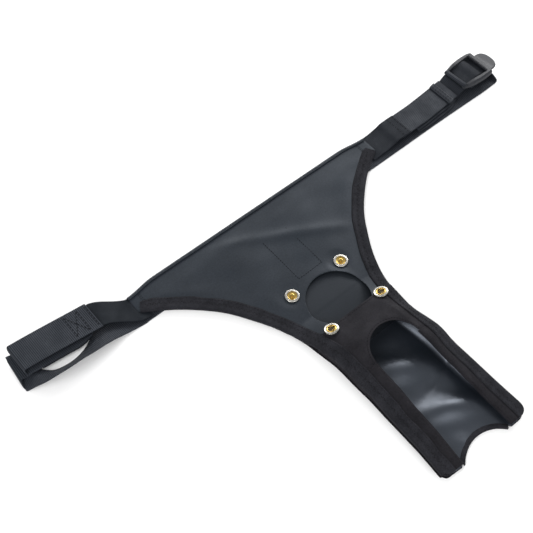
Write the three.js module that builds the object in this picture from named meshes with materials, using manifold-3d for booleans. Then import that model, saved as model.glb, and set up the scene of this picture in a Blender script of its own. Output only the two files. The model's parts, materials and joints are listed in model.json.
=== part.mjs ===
// Chest harness pouch: a T-shaped fabric chest panel, a folding pocket leg and one long shoulder strap.
// Millimetres, +Z up. The harness lies on its back, so z = 0 is the surface it rests on.
// X runs along the strap, -Y runs down the leg, and the origin is on the back strap's centre line.
import * as THREE from 'three';
import { mergeVertices } from 'three/addons/utils/BufferGeometryUtils.js';
import Module from 'manifold-3d';

const wasm = await Module();
wasm.setup();

// ---- driving sizes -------------------------------------------------------------------------------
const GAP = 0.3;                 // air between two pieces that touch
const PANEL = 1.0;               // thickness of the coated chest fabric
const LINER = 0.6;               // thickness of the backing and of the pocket lining
const TAPE = 0.7;                // thickness of the edge binding
const BIND_W = 12;               // width of the edge binding on the front
const RETURN_W = 4;              // width of the edge binding on the back
const TOP_BIND_W = 5;            // width of the narrow binding on the top edge

const WEB_W = 30;                // webbing width
const WEB_T = 1.4;               // webbing thickness

const WING_SPAN = 157;           // half the length of the panel's top edge
const TOP_Y = 22.5;              // the top edge
const TIP_Y = -2;                // the wing tip's lower corner
const LEG_HALF = 50;             // half the leg's width where the curve from the wing ends
const LEG_FLARE = 2.5;           // how much the half width grows towards the leg's end
const LEG_JOIN_Y = -165;         // where the curve from the wing meets the leg's side
const LEG_END_Y = -311;          // the leg's lower end

const FOLD_Y = -113;             // the line that the leg folds on
const FOLD_SLIT = 0.6;           // slit between the chest's layers and the leg's
const SNAP_LIFT = 2.6;           // height of the fold axis above the panel's face
const HOLE_R = 32;               // round opening across the fold line
const HOLE_DROP = 2.5;           // how far its centre lies below that line

const SLOPE = 20;                // degrees that the leg's front rises from the fold
const BRIDGE_Y = -137;           // seam between the leg panel and the pocket's bridge
const APEX_Y = -170;             // top of the pocket window's arch
const WINDOW_HALF = 27;          // half width of the pocket window
const WINDOW_FLARE = 3;          // how much the window widens towards the open end
const STRIP_Y = -196;            // seam between the bridge and the two side strips
const POCKET_END_H = 8.5;        // height of the window's edge at the open end
const SIDE_H = 12;               // height of the pocket's outer edge
const SIDE_END_H = 7;            // height of that edge at the open end
const NOTCH_R = 38;              // round notch in the open end
const NOTCH_DEPTH = 14;

const SNAP_R = 7.5;              // snap flange radius
const SNAP_CLEAR = 3.7;          // cloth between a snap and the round opening
const SNAP_AROUND = 42.2;        // degrees from the fold line to a snap, about the opening's centre
const SNAP_POST_R = 1.8;         // the stud's nub
const SNAP_H = 1.4;              // flange height

const PATCH_W = 28;              // rear patch
const PATCH_TOP = -12;
const PATCH_L = 56;

// ---- small helpers -------------------------------------------------------------------------------
const rad = THREE.MathUtils.degToRad;
const lerp = THREE.MathUtils.lerp;
const clamp = THREE.MathUtils.clamp;
const v3 = (x, y, z) => new THREE.Vector3(x, y, z);

function smooth(from, to, value) {
  return THREE.MathUtils.smoothstep(value, Math.min(from, to), Math.max(from, to));
}

const group = new THREE.Group();

const COLOURS = {
  coated: [0x23272e, 0.5, 0],
  cloth: [0x201d1c, 0.85, 0],
  tape: [0x1d1c1e, 0.9, 0],
  lining: [0x1a1c20, 0.25, 0],
  webbing: [0x22252b, 0.8, 0],
  nickel: [0xc9c5bb, 0.25, 1],
  brass: [0xc49a3c, 0.3, 1],
  plastic: [0x4a4c52, 0.45, 0],
};

function add(name, geometry, look) {
  const [color, roughness, metalness] = COLOURS[look];
  const material = new THREE.MeshStandardMaterial({ color, roughness, metalness });
  const mesh = new THREE.Mesh(geometry, material);
  mesh.name = name;
  group.add(mesh);
  return mesh;
}

function toSolid(geometry) {
  const bare = geometry.clone();
  bare.deleteAttribute('normal');
  bare.deleteAttribute('uv');
  const merged = mergeVertices(bare, 1e-4);
  return new wasm.Manifold(new wasm.Mesh({
    numProp: 3,
    vertProperties: new Float32Array(merged.attributes.position.array),
    triVerts: new Uint32Array(merged.index.array),
  }));
}

function toGeometry(solid) {
  const mesh = solid.getMesh();
  const geometry = new THREE.BufferGeometry();
  geometry.setAttribute('position', new THREE.BufferAttribute(new Float32Array(mesh.vertProperties), 3));
  geometry.setIndex(new THREE.BufferAttribute(new Uint32Array(mesh.triVerts), 1));
  const flat = geometry.toNonIndexed();
  flat.computeVertexNormals();
  return flat;
}

// A closed body through a row of closed sections that all have the same number of points.
function loft(sections) {
  const count = sections[0].length;
  const positions = [];
  const indices = [];
  for (const section of sections) {
    for (const p of section) positions.push(p.x, p.y, p.z);
  }
  for (let s = 0; s < sections.length - 1; s += 1) {
    for (let i = 0; i < count; i += 1) {
      const j = (i + 1) % count;
      const a = s * count + i;
      const b = s * count + j;
      const c = (s + 1) * count + j;
      const d = (s + 1) * count + i;
      indices.push(a, b, c, a, c, d);
    }
  }
  capSection(sections[0], 0, indices, true);
  capSection(sections.at(-1), (sections.length - 1) * count, indices, false);
  const geometry = new THREE.BufferGeometry();
  geometry.setAttribute('position', new THREE.Float32BufferAttribute(positions, 3));
  geometry.setIndex(indices);
  return outward(geometry);
}

// Fills one end section, seen in its own plane.
function capSection(section, offset, indices, flip) {
  const normal = v3(0, 0, 0);
  section.forEach((p, i) => {
    const q = section[(i + 1) % section.length];
    normal.add(v3((p.y - q.y) * (p.z + q.z), (p.z - q.z) * (p.x + q.x), (p.x - q.x) * (p.y + q.y)));
  });
  normal.normalize();
  const helper = Math.abs(normal.z) < 0.9 ? v3(0, 0, 1) : v3(1, 0, 0);
  const u = helper.clone().cross(normal).normalize();
  const w = normal.clone().cross(u);
  const flat = section.map((p) => new THREE.Vector2(p.dot(u), p.dot(w)));
  for (const [a, b, c] of THREE.ShapeUtils.triangulateShape(flat, [])) {
    if (flip) indices.push(offset + c, offset + b, offset + a);
    else indices.push(offset + a, offset + b, offset + c);
  }
}

// Turns a closed body's faces outward.
function outward(geometry) {
  const p = geometry.attributes.position;
  const index = geometry.index.array;
  const [a, b, c] = [v3(0, 0, 0), v3(0, 0, 0), v3(0, 0, 0)];
  let volume = 0;
  for (let i = 0; i < index.length; i += 3) {
    a.fromBufferAttribute(p, index[i]);
    b.fromBufferAttribute(p, index[i + 1]);
    c.fromBufferAttribute(p, index[i + 2]);
    volume += a.dot(b.cross(c));
  }
  if (volume < 0) {
    for (let i = 0; i < index.length; i += 3) [index[i], index[i + 1]] = [index[i + 1], index[i]];
  }
  geometry.computeVertexNormals();
  return geometry;
}

function box(x0, x1, y0, y1, z0, z1) {
  const geometry = new THREE.BoxGeometry(x1 - x0, y1 - y0, z1 - z0);
  geometry.translate((x0 + x1) / 2, (y0 + y1) / 2, (z0 + z1) / 2);
  return geometry;
}

function cylinder(radius, x, y, z0, z1, sides = 48) {
  const geometry = new THREE.CylinderGeometry(radius, radius, z1 - z0, sides);
  geometry.rotateX(Math.PI / 2);
  geometry.translate(x, y, (z0 + z1) / 2);
  return geometry;
}

function plate(shape, z0, z1, divisions = 12) {
  const geometry = new THREE.ExtrudeGeometry(shape, {
    depth: z1 - z0, bevelEnabled: false, curveSegments: divisions,
  });
  geometry.translate(0, 0, z0);
  return geometry;
}

// ---- heights of the layers -----------------------------------------------------------------------
const STRAP_TOP = WEB_T;
const TAPE_LOW = STRAP_TOP + GAP;
const BACKING_LOW = TAPE_LOW + TAPE + GAP;
const BACKING_TOP = BACKING_LOW + LINER;
const PANEL_LOW = BACKING_TOP + GAP;
const PANEL_TOP = PANEL_LOW + PANEL;
const TAPE_TOP = PANEL_TOP + GAP + TAPE;
const FOLD_Z = PANEL_TOP + SNAP_LIFT;
const slope = Math.tan(rad(SLOPE));

// ---- plan outline --------------------------------------------------------------------------------
const CURVE_PULL_TIP = 60;       // how far the wing's curve runs straight from the tip
const CURVE_TIP_RISE = 0.53;     // slope of the curve at the tip
const CURVE_PULL_LEG = 70;       // and how far it runs straight up from the leg
const CURVE_LEG_OUT = 5;         // how far that run leans outward
const sideCurve = new THREE.CubicBezierCurve(
  new THREE.Vector2(WING_SPAN, TIP_Y),
  new THREE.Vector2(WING_SPAN - CURVE_PULL_TIP, TIP_Y - CURVE_PULL_TIP * CURVE_TIP_RISE),
  new THREE.Vector2(LEG_HALF + CURVE_LEG_OUT, LEG_JOIN_Y + CURVE_PULL_LEG),
  new THREE.Vector2(LEG_HALF, LEG_JOIN_Y),
);

const sidePoints = sideCurve.getPoints(60);

// Half the width of the body at a height down the leg.
function halfWidth(y) {
  if (y <= LEG_JOIN_Y) return LEG_HALF + LEG_FLARE * (LEG_JOIN_Y - y) / (LEG_JOIN_Y - LEG_END_Y);
  for (let i = 0; i < sidePoints.length - 1; i += 1) {
    const p = sidePoints[i];
    const q = sidePoints[i + 1];
    if (y <= p.y && y >= q.y) return lerp(p.x, q.x, (p.y - y) / (p.y - q.y));
  }
  return WING_SPAN;
}

const CHEST_END = FOLD_Y + FOLD_SLIT / 2;
const LEG_START = FOLD_Y - FOLD_SLIT / 2;

// Points down one side of the chest, from the wing tip to the fold, drawn in by an inset.
function chestSide(inset) {
  const points = [];
  const cut = CHEST_END;
  for (let i = 0; i < sidePoints.length; i += 2) {
    const p = sidePoints[i];
    if (p.y < cut + 1) break;
    const tangent = sideCurve.getTangent(i / (sidePoints.length - 1));
    points.push(new THREE.Vector2(p.x + tangent.y * inset, p.y - tangent.x * inset));
  }
  const last = halfWidth(cut);
  points.push(new THREE.Vector2(last - inset, cut));
  return points;
}

function chestShape(inset) {
  const side = chestSide(inset);
  const shape = new THREE.Shape();
  shape.moveTo(-WING_SPAN, TOP_Y);
  for (const p of side) shape.lineTo(-p.x, p.y);
  for (const p of [...side].reverse()) shape.lineTo(p.x, p.y);
  shape.lineTo(WING_SPAN, TOP_Y);
  shape.closePath();
  return shape;
}

// ---- chest ---------------------------------------------------------------------------------------
function holeTool(z0, z1) {
  return toSolid(cylinder(HOLE_R, 0, FOLD_Y - HOLE_DROP, z0, z1, 64));
}

function chestPanel() {
  const sheet = toSolid(plate(chestShape(0), PANEL_LOW, PANEL_TOP));
  add('chest_panel', toGeometry(sheet.subtract(holeTool(PANEL_LOW - 1, PANEL_TOP + 1))), 'coated');
  add('chest_backing', plate(chestShape(GAP), BACKING_LOW, BACKING_TOP), 'lining');
}

const PATCH_START = Math.min(PATCH_TOP, -WEB_W / 2 - 2);   // the patch stops short of the strap

function rearPatch() {
  const top = BACKING_LOW - GAP;
  add('rear_patch', box(-PATCH_W / 2, PATCH_W / 2, PATCH_TOP - PATCH_L, PATCH_START, top - LINER, top), 'coated');
}

function topBinding() {
  const end = WING_SPAN;
  const outer = toSolid(box(-end, end, TOP_Y - TOP_BIND_W, TOP_Y + GAP + TAPE, TAPE_LOW, TAPE_TOP));
  const inner = box(-end - 1, end + 1, TOP_Y - TOP_BIND_W - 1, TOP_Y + GAP, BACKING_LOW - GAP, PANEL_TOP + GAP);
  add('top_binding', toGeometry(outer.subtract(toSolid(inner))), 'tape');
}

// The C-shaped section of an edge binding, at an edge point with its outward direction.
function bindingSection(edge, out, zInner, zOuter, lowTape) {
  const at = (u, z) => v3(edge.x + out.x * u, edge.y + out.y * u, z);
  const face = GAP + TAPE;
  return [
    at(-BIND_W, zInner + GAP),
    at(-BIND_W, zInner + face),
    at(face, zOuter + face),
    at(face, lowTape),
    at(-RETURN_W, lowTape),
    at(-RETURN_W, lowTape + TAPE),
    at(GAP, lowTape + TAPE),
    at(GAP, zOuter + GAP),
  ];
}

function wingBinding(side, name) {
  const sections = [];
  for (let i = 1; i < sidePoints.length; i += 2) {
    const p = sidePoints[i];
    if (p.y < CHEST_END + 2) break;
    const t = sideCurve.getTangent(i / (sidePoints.length - 1));
    const out = new THREE.Vector2(-t.y * side, t.x);
    const edge = new THREE.Vector2(p.x * side, p.y);
    sections.push(bindingSection(edge, out, PANEL_TOP, PANEL_TOP, TAPE_LOW));
  }
  const end = new THREE.Vector2(halfWidth(CHEST_END) * side, CHEST_END);
  sections.push(bindingSection(end, new THREE.Vector2(side, 0), PANEL_TOP, PANEL_TOP, TAPE_LOW));
  add(name, loft(sections), 'tape');
}

chestPanel();
rearPatch();
topBinding();
for (const [side, word] of [[-1, 'left'], [1, 'right']]) {
  wingBinding(side, `wing_binding_${word}`);
}


// ---- leg -----------------------------------------------------------------------------------------
const SNAP_REACH = HOLE_R + SNAP_CLEAR + SNAP_R;     // from the fold line's middle to a snap
const SNAP_X = SNAP_REACH * Math.cos(rad(SNAP_AROUND));
const SNAP_Y = SNAP_REACH * Math.sin(rad(SNAP_AROUND));
const SHOULDER_X = SNAP_X - SNAP_R * 2 / 3;          // the leg's front is level as far as the snaps
const FACE_STEP = GAP + PANEL;                       // the bridge lies on the leg panel
const planeZ = FOLD_Z - SNAP_LIFT / Math.cos(rad(SLOPE));
const LAP = 8;                                       // how far cloth runs on under the piece over it
const LAP_Y = FOLD_Y - HOLE_DROP - HOLE_R - LAP;     // the leg panel ends below the round opening
const FLOOR_RUN = 10;                                // how far past the bridge's seam the leg reaches the floor
const ROW = 6;                                       // spacing of the rows across the leg
const APEX_Z = planeZ + (FOLD_Y - APEX_Y) * slope;

// Height of the leg's front along its middle.
function crestZ(y) {
  if (y >= APEX_Y) return planeZ + (FOLD_Y - y) * slope;
  return lerp(APEX_Z, POCKET_END_H, (APEX_Y - y) / (APEX_Y - LEG_END_Y));
}

// Height of the leg's front along its sides.
function edgeZ(y) {
  const rise = lerp(SIDE_H, planeZ, smooth(APEX_Y, FOLD_Y, y));
  return y > APEX_Y ? rise : lerp(SIDE_H, SIDE_END_H, (APEX_Y - y) / (APEX_Y - LEG_END_Y));
}

// Top of the leg's base layer, level in the middle and falling to the sides.
function baseTop(x, y) {
  const share = clamp((Math.abs(x) - SHOULDER_X) / (halfWidth(y) - SHOULDER_X), 0, 1);
  return lerp(crestZ(y), edgeZ(y), share);
}

function frontTop(x, y) {
  return baseTop(x, y) + (y < BRIDGE_Y ? FACE_STEP : 0);
}

// Top of the leg's back fabric, which drops from the fold to the floor.
function floorLow(y) {
  return lerp(0, TAPE_LOW, smooth(BRIDGE_Y - FLOOR_RUN, FOLD_Y, y));
}

function rowsBetween(y0, y1, step) {
  const count = Math.max(1, Math.round(Math.abs(y1 - y0) / step));
  return Array.from({ length: count + 1 }, (_, i) => lerp(y0, y1, i / count));
}

// A cloth that follows topZ(x, y) between two heights down the leg.
function clothOver(y0, y1, topZ, thickness, inset) {
  const across = 16;
  const sections = rowsBetween(y0, y1, ROW).map((y) => {
    const half = halfWidth(y) - inset;
    const xs = Array.from({ length: across + 1 }, (_, i) => lerp(-half, half, i / across));
    const top = xs.map((x) => v3(x, y, topZ(x, y)));
    const low = [...xs].reverse().map((x) => v3(x, y, topZ(x, y) - thickness));
    return [...top, ...low];
  });
  return loft(sections);
}

function legPanel() {
  const cloth = toSolid(clothOver(LEG_START, LAP_Y, baseTop, PANEL, 0));
  add('leg_panel', toGeometry(cloth.subtract(holeTool(0, SIDE_H * 3))), 'coated');
}

function windowHalf(y) {
  const start = APEX_Y - WINDOW_HALF;
  return WINDOW_HALF + WINDOW_FLARE * clamp((start - y) / (start - LEG_END_Y), 0, 1);
}

function windowTool() {
  const shape = new THREE.Shape();
  const start = APEX_Y - WINDOW_HALF;
  const past = LEG_END_Y - LAP;
  shape.moveTo(WINDOW_HALF, start);
  shape.absarc(0, start, WINDOW_HALF, 0, Math.PI, false);
  shape.lineTo(-windowHalf(LEG_END_Y), past);
  shape.lineTo(windowHalf(LEG_END_Y), past);
  shape.closePath();
  return toSolid(plate(shape, 0, SIDE_H * 4, 32));
}

function pocketFront() {
  const raised = (x, y) => baseTop(x, y) + FACE_STEP;
  const cloth = toSolid(clothOver(BRIDGE_Y, LEG_END_Y, raised, PANEL, 0)).subtract(windowTool());
  const wide = LEG_HALF * 2;
  const tall = SIDE_H * 4;
  const upper = toSolid(box(-wide, wide, STRIP_Y + GAP / 2, BRIDGE_Y + LAP, 0, tall));
  add('pocket_bridge', toGeometry(cloth.intersect(upper)), 'cloth');
  for (const [side, word] of [[-1, 'left'], [1, 'right']]) {
    const x0 = Math.min(0, wide * side);
    const lower = toSolid(box(x0, x0 + wide, LEG_END_Y - LAP, STRIP_Y - GAP / 2, 0, tall));
    add(`pocket_strip_${word}`, toGeometry(cloth.intersect(lower)), 'cloth');
  }
}

const STEP_START = 2;            // where the binding begins to step up on to the bridge

function legBinding(side, name) {
  const stepEnd = BRIDGE_Y + STEP_START - 1;
  const stations = [
    ...rowsBetween(LEG_START, BRIDGE_Y + STEP_START, ROW),
    ...rowsBetween(stepEnd, LEG_END_Y, ROW + 1),
  ];
  const out = new THREE.Vector2(side, 0);
  const sections = stations.map((y) => {
    const half = halfWidth(y);
    const high = y > stepEnd ? 0 : FACE_STEP;
    const inner = baseTop(half - BIND_W, y) + high;
    const outer = baseTop(half, y) + high;
    const low = baseTop(half, y) - PANEL - GAP - TAPE;
    return bindingSection(new THREE.Vector2(half * side, y), out, inner, outer, low);
  });
  add(name, loft(sections), 'tape');
}

const WALL_START = BRIDGE_Y - LAP;
const WALL_IN = 1.6;             // how far the side wall stands in from the edge

function sideWall(side, name) {
  const sections = rowsBetween(WALL_START, LEG_END_Y, ROW + 2).map((y) => {
    const outer = (halfWidth(y) - WALL_IN) * side;
    const inner = (halfWidth(y) - WALL_IN - LINER) * side;
    const low = floorLow(y) + LINER + GAP;
    const high = baseTop(halfWidth(y), y) - PANEL - 2 * GAP - TAPE;
    return [v3(outer, y, low), v3(outer, y, high), v3(inner, y, high), v3(inner, y, low)];
  });
  add(name, loft(sections), 'cloth');
}

const NOTCH_Y = LEG_END_Y - NOTCH_R + NOTCH_DEPTH;

function notchTool(radius) {
  return toSolid(cylinder(radius, 0, NOTCH_Y, -SIDE_H, SIDE_H, 96));
}

function legBack() {
  const top = (x, y) => floorLow(y) + LINER;
  const cloth = toSolid(clothOver(LEG_START, LEG_END_Y, top, LINER, 0));
  add('leg_back', toGeometry(cloth.subtract(notchTool(NOTCH_R))), 'cloth');
}

const LINING_IN = RETURN_W + 1;  // how far the lining's walls stand in from the leg's edge

function liningLow(y) {
  return floorLow(y) + LINER + GAP;
}

function pocketLining() {
  const sections = rowsBetween(LEG_START, LEG_END_Y, ROW).map((y) => {
    const half = halfWidth(y) - LINING_IN;
    const low = liningLow(y);
    const high = baseTop(half, y) - PANEL - GAP;
    const inner = half - LINER;
    return [
      v3(-half, y, high), v3(-half, y, low), v3(half, y, low), v3(half, y, high),
      v3(inner, y, high), v3(inner, y, low + LINER), v3(-inner, y, low + LINER), v3(-inner, y, high),
    ];
  });
  add('pocket_lining', toGeometry(toSolid(loft(sections)).subtract(notchTool(NOTCH_R))), 'lining');
}

const NOTCH_BAND = 4.5;          // width of the notch's edge band
const NOTCH_SHORT = 2;           // degrees that the band stops short of the corners

function notchBinding() {
  const top = liningLow(LEG_END_Y) + LINER;
  const reach = Math.acos((NOTCH_R - NOTCH_DEPTH) / NOTCH_R) - rad(NOTCH_SHORT);
  const sections = Array.from({ length: 25 }, (_, i) => {
    const angle = lerp(-reach, reach, i / 24);
    const at = (r, z) => v3(Math.sin(angle) * r, NOTCH_Y + Math.cos(angle) * r, z);
    const face = NOTCH_R - GAP;
    return [
      at(face - TAPE, 0), at(face - TAPE, top + GAP + TAPE), at(NOTCH_R + NOTCH_BAND, top + GAP + TAPE),
      at(NOTCH_R + NOTCH_BAND, top + GAP), at(face, top + GAP), at(face, 0),
    ];
  });
  add('notch_binding', loft(sections), 'tape');
}

legPanel();
pocketFront();
legBack();
pocketLining();
notchBinding();
for (const [side, word] of [[-1, 'left'], [1, 'right']]) {
  legBinding(side, `leg_binding_${word}`);
  sideWall(side, `side_wall_${word}`);
}

// ---- snaps ---------------------------------------------------------------------------------------
const RIM_IN = 5;                // inner radius of a snap's outer ring
const DISH_R = RIM_IN - GAP;     // radius of the dished centre
const NUB_H = 2.9;               // height of the stud's nub
const NECK = 0.3;                // how much the nub narrows at its neck and its top
const DISH_T = 0.6;
const LIP_H = 1.1;               // height of the rings' inner lips
const SPRING_BAR = 0.3;          // thickness of the spring wire
const SPRING_APART = SNAP_POST_R + GAP;              // the wire passes beside the nub
const CUP_R = (SPRING_APART + SPRING_BAR) * Math.SQRT2 + 0.2;
const CUP_FLOOR = 0.35;

function turned(profile) {
  const points = profile.map(([r, z]) => new THREE.Vector2(r, z));
  const geometry = new THREE.LatheGeometry(points, 40);
  geometry.rotateX(Math.PI / 2);
  return geometry;
}

function ringProfile() {
  const mid = (RIM_IN + SNAP_R) / 2;
  return [
    [RIM_IN, 0], [SNAP_R - 0.3, 0], [SNAP_R, 0.4], [SNAP_R - 0.5, LIP_H], [mid, SNAP_H],
    [RIM_IN + 0.3, LIP_H], [RIM_IN, 0.7], [RIM_IN, 0],
  ];
}

function studProfile() {
  return [
    [0, 0], [DISH_R, 0], [DISH_R, 0.9], [DISH_R - 0.8, DISH_T], [SNAP_POST_R - NECK, DISH_T],
    [SNAP_POST_R - NECK, NUB_H * 0.55], [SNAP_POST_R, NUB_H * 0.8], [SNAP_POST_R - NECK, NUB_H], [0, NUB_H],
  ];
}

function cupProfile() {
  return [
    [0, 0], [DISH_R, 0], [DISH_R, 0.9], [DISH_R - 0.5, SNAP_H], [CUP_R + 0.2, SNAP_H],
    [CUP_R, LIP_H], [CUP_R, CUP_FLOOR], [0, CUP_FLOOR],
  ];
}

// Two spring bars across the cup's mouth, joined at one end.
function springGeometry() {
  const reach = SPRING_APART + SPRING_BAR;
  const z0 = CUP_FLOOR + GAP;
  const z1 = z0 + SPRING_BAR;
  const first = toSolid(box(-reach, reach, SPRING_APART, reach, z0, z1));
  const second = toSolid(box(-reach, reach, -reach, -SPRING_APART, z0, z1));
  const bend = toSolid(box(SPRING_APART, reach, -reach, reach, z0, z1));
  return toGeometry(first.add(second).add(bend));
}

function placeOnChest(geometry, side) {
  geometry.translate(SNAP_X * side, FOLD_Y + SNAP_Y, PANEL_TOP + GAP);
  return geometry;
}

// The bridge slopes, so its snaps lie on the slope, as far from the fold axis as the studs do.
function placeOnBridge(geometry, side) {
  const turn = new THREE.Matrix4().makeRotationX(rad(-SLOPE));
  const lift = SNAP_LIFT - FACE_STEP - GAP;
  geometry.translate(0, 0, -lift);
  geometry.translate(0, -SNAP_Y, 0);
  geometry.applyMatrix4(turn);
  geometry.translate(SNAP_X * side, FOLD_Y, FOLD_Z);
  return geometry;
}

for (const [side, word] of [[-1, 'left'], [1, 'right']]) {
  add(`stud_ring_${word}`, placeOnChest(turned(ringProfile()), side), 'nickel');
  add(`stud_${word}`, placeOnChest(turned(studProfile()), side), 'brass');
  add(`socket_ring_${word}`, placeOnBridge(turned(ringProfile()), side), 'nickel');
  add(`socket_${word}`, placeOnBridge(turned(cupProfile()), side), 'brass');
  add(`socket_spring_${word}`, placeOnBridge(springGeometry(), side), 'brass');
}

// ---- straps --------------------------------------------------------------------------------------
const TURN_STEPS = 8;

// Adds a U-turn to a strap's path, from the last point to the same place at another height.
function uTurn(path, z, direction) {
  const [x, z0] = path.at(-1);
  const r = (z - z0) / 2;
  for (let i = 1; i <= TURN_STEPS; i += 1) {
    const a = Math.PI * i / TURN_STEPS;
    path.push([x + direction * Math.abs(r) * Math.sin(a), z0 + r - r * Math.cos(a)]);
  }
  return path;
}

// Points on both faces of a strap that follows a path in the XZ plane.
function thicken(path) {
  const upper = [];
  const lower = [];
  path.forEach(([x, z], i) => {
    const [xa, za] = path[Math.max(0, i - 1)];
    const [xb, zb] = path[Math.min(path.length - 1, i + 1)];
    const d = new THREE.Vector2(xb - xa, zb - za).normalize();
    upper.push([x - d.y * WEB_T / 2, z + d.x * WEB_T / 2]);
    lower.push([x + d.y * WEB_T / 2, z - d.x * WEB_T / 2]);
  });
  return [...upper, ...lower.reverse()];
}

// A strap of webbing along a path in the XZ plane, set sideways by shift(x).
function ribbon(name, path, shift = () => 0, width = WEB_W) {
  const outline = thicken(path);
  const sections = [-width / 2, width / 2].map((y) => outline.map(([x, z]) => v3(x, y + shift(x), z)));
  add(name, loft(sections), 'webbing');
}

const WEB_MID = WEB_T / 2;                 // middle of the layer that lies on the floor
const LAYER = WEB_T + 1;                   // height between folded layers
const STRAP_START = WING_SPAN + TAPE + 2 * GAP;

const BACK_LEFT = -STRAP_START + 8.3;      // where the back strap turns into the left loop

function backStrap() {
  add('back_strap', box(BACK_LEFT, BACK_RIGHT, -WEB_W / 2, WEB_W / 2, 0, WEB_T), 'webbing');
}

// Right strap: a short wing strap, a folded strap that is sewn under it, and the buckle.
const R_JOINT = STRAP_START + 42.7;        // end of the wing strap
const R_LAP = 11;                          // how far the wing strap lies over the folded strap
const R_RAMP = 3;                          // how far before that it has reached its height
const R_FOLD_IN = R_JOINT + 13;            // the inner fold
const R_FOLD_OUT = R_FOLD_IN + 61;         // the outer folds
const R_TOP = WEB_MID + 3 * LAYER;         // height of the folded strap's top layer
const R_LIFT = R_TOP + WEB_T + GAP;

const BAR_R = 1.7;                         // radius of the buckle's round bars
const BAR_X = R_FOLD_OUT + 16;             // the buckle's fixed bar, which the strap wraps
const BAR_Z = R_TOP + 3.9;
const WRAP_R = BAR_R + WEB_T / 2 + 3 * GAP;          // radius of the strap's loop around the bar
const WRAP_FROM = -130;                    // degrees at which the strap meets the bar and ends
const WRAP_TO = 150;
const WRAP_STEP = 20;
const MID_BAR_X = BAR_X + 22;              // the bar that the webbing passes over
const GRIP_X = BAR_X + 35;                 // the toothed bar that it passes under
const LOCK_LOW = BAR_Z - 2.8;              // the buckle's lowest and highest faces
const LOCK_TOP = LOCK_LOW + 6.4;
const BACK_RIGHT = GRIP_X - 4;             // where the back strap turns into the right loop
const R_LOOP_END = BACK_RIGHT + 15;        // where it turns up at the far end
const R_LOOP_BACK = BACK_RIGHT - 20;       // and where it ends under the buckle
const R_LOOP_Z = LOCK_LOW - WEB_T;

function rightStraps() {
  const lapStart = R_JOINT - R_LAP - R_RAMP;
  ribbon('right_wing_strap', [
    [STRAP_START, PANEL_LOW], [STRAP_START + 8, PANEL_LOW + 0.6], [lerp(STRAP_START, lapStart, 0.62), R_LIFT - 3],
    [lapStart, R_LIFT], [R_JOINT, R_LIFT],
  ]);
  const fold = [[R_JOINT - R_LAP, R_TOP], [R_FOLD_OUT, R_TOP]];
  uTurn(fold, R_TOP - LAYER, 1);
  fold.push([R_FOLD_IN, R_TOP - LAYER]);
  uTurn(fold, R_TOP - 2 * LAYER, -1);
  fold.push([BAR_X - 10, R_TOP - 2 * LAYER]);
  for (let angle = WRAP_FROM; angle <= WRAP_TO; angle += WRAP_STEP) {
    fold.push([BAR_X + WRAP_R * Math.cos(rad(angle)), BAR_Z + WRAP_R * Math.sin(rad(angle))]);
  }
  ribbon('right_strap', fold);
  const loop = [[BACK_RIGHT + GAP, WEB_MID], [R_LOOP_END, WEB_MID]];
  uTurn(loop, R_LOOP_Z, 1);
  loop.push([R_LOOP_BACK, R_LOOP_Z]);
  ribbon('right_loop', loop);
}

// Doubled and stitched hem across the folded strap's top layer.
const HEM_W = 9;
const HEM_X = R_FOLD_OUT - HEM_W - 4;
const HEM_OVER = 1;                        // how far the hem stands out past the strap's edges

function strapHem() {
  const low = R_TOP + WEB_T / 2 + GAP;
  add('strap_hem', box(HEM_X, HEM_X + HEM_W, -WEB_W / 2 - HEM_OVER, WEB_W / 2 + HEM_OVER, low, low + WEB_T), 'webbing');
}

// Left strap: a wing strap, a folded strap that is sewn over it, and the loop on the floor.
const L_JOINT = -STRAP_START - 57.7;       // end of the wing strap
const L_LAP = 22;
const L_FOLD_IN = L_JOINT + 8;             // the inner fold
const L_FOLD_OUT = L_FOLD_IN - 67;         // the outer fold
const L_CUT = L_FOLD_OUT + 13;             // where the folded strap meets the floor loop
const L_LOW = WEB_MID + LAYER + 1.4;       // heights of the folded strap's layers
const L_MID = L_LOW + LAYER;
const L_LIFT = L_MID + 3;                  // height of the wing strap's far end
const L_TOP = L_LIFT + WEB_T + GAP;
const L_SIDE = WEB_W / 2 + 6;              // how far the bundle lies off the strap's line
const L_DRIFT = 0.04;                      // how fast it drifts on sideways from there

function leftShift(x) {
  const near = L_JOINT + L_LAP;
  return x > near ? L_SIDE * smooth(-STRAP_START, near, -STRAP_START + near - x) : L_SIDE + (near - x) * L_DRIFT;
}

function leftStraps() {
  const rise = (share) => lerp(-STRAP_START, L_JOINT + L_LAP, share);
  const wing = [0, 0.15, 0.3, 0.45, 0.6, 0.75, 0.9, 1].map((share) => {
    return [rise(share), lerp(PANEL_LOW, L_LIFT, smooth(0, 1, share))];
  });
  wing.push([L_JOINT, L_LIFT]);
  ribbon('left_wing_strap', wing, leftShift);
  const fold = [[L_JOINT + L_LAP, L_TOP], [L_FOLD_OUT, L_TOP]];
  uTurn(fold, L_MID, -1);
  fold.push([L_FOLD_IN, L_MID]);
  uTurn(fold, L_LOW, 1);
  fold.push([L_CUT, L_LOW]);
  ribbon('left_strap', fold, leftShift);
}

// The floor loop rolls up on its near edge. Each row is the distance past the strap's start, how
// far the other edge lies past the straight strap's edge, and the height of the rolled edge.
const L_ROLL = [
  [-8, 0, 0], [0, 0, 0], [16.7, 0, 2.1], [39.7, -3.9, 10.3], [57.7, -10.6, 16.8], [77.7, -13.2, 18.5],
  [93.7, -7.8, 14.1], [104.7, 0.5, 7.3], [112.7, 9, 2.1], [118.7, 15, 0],
];

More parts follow.
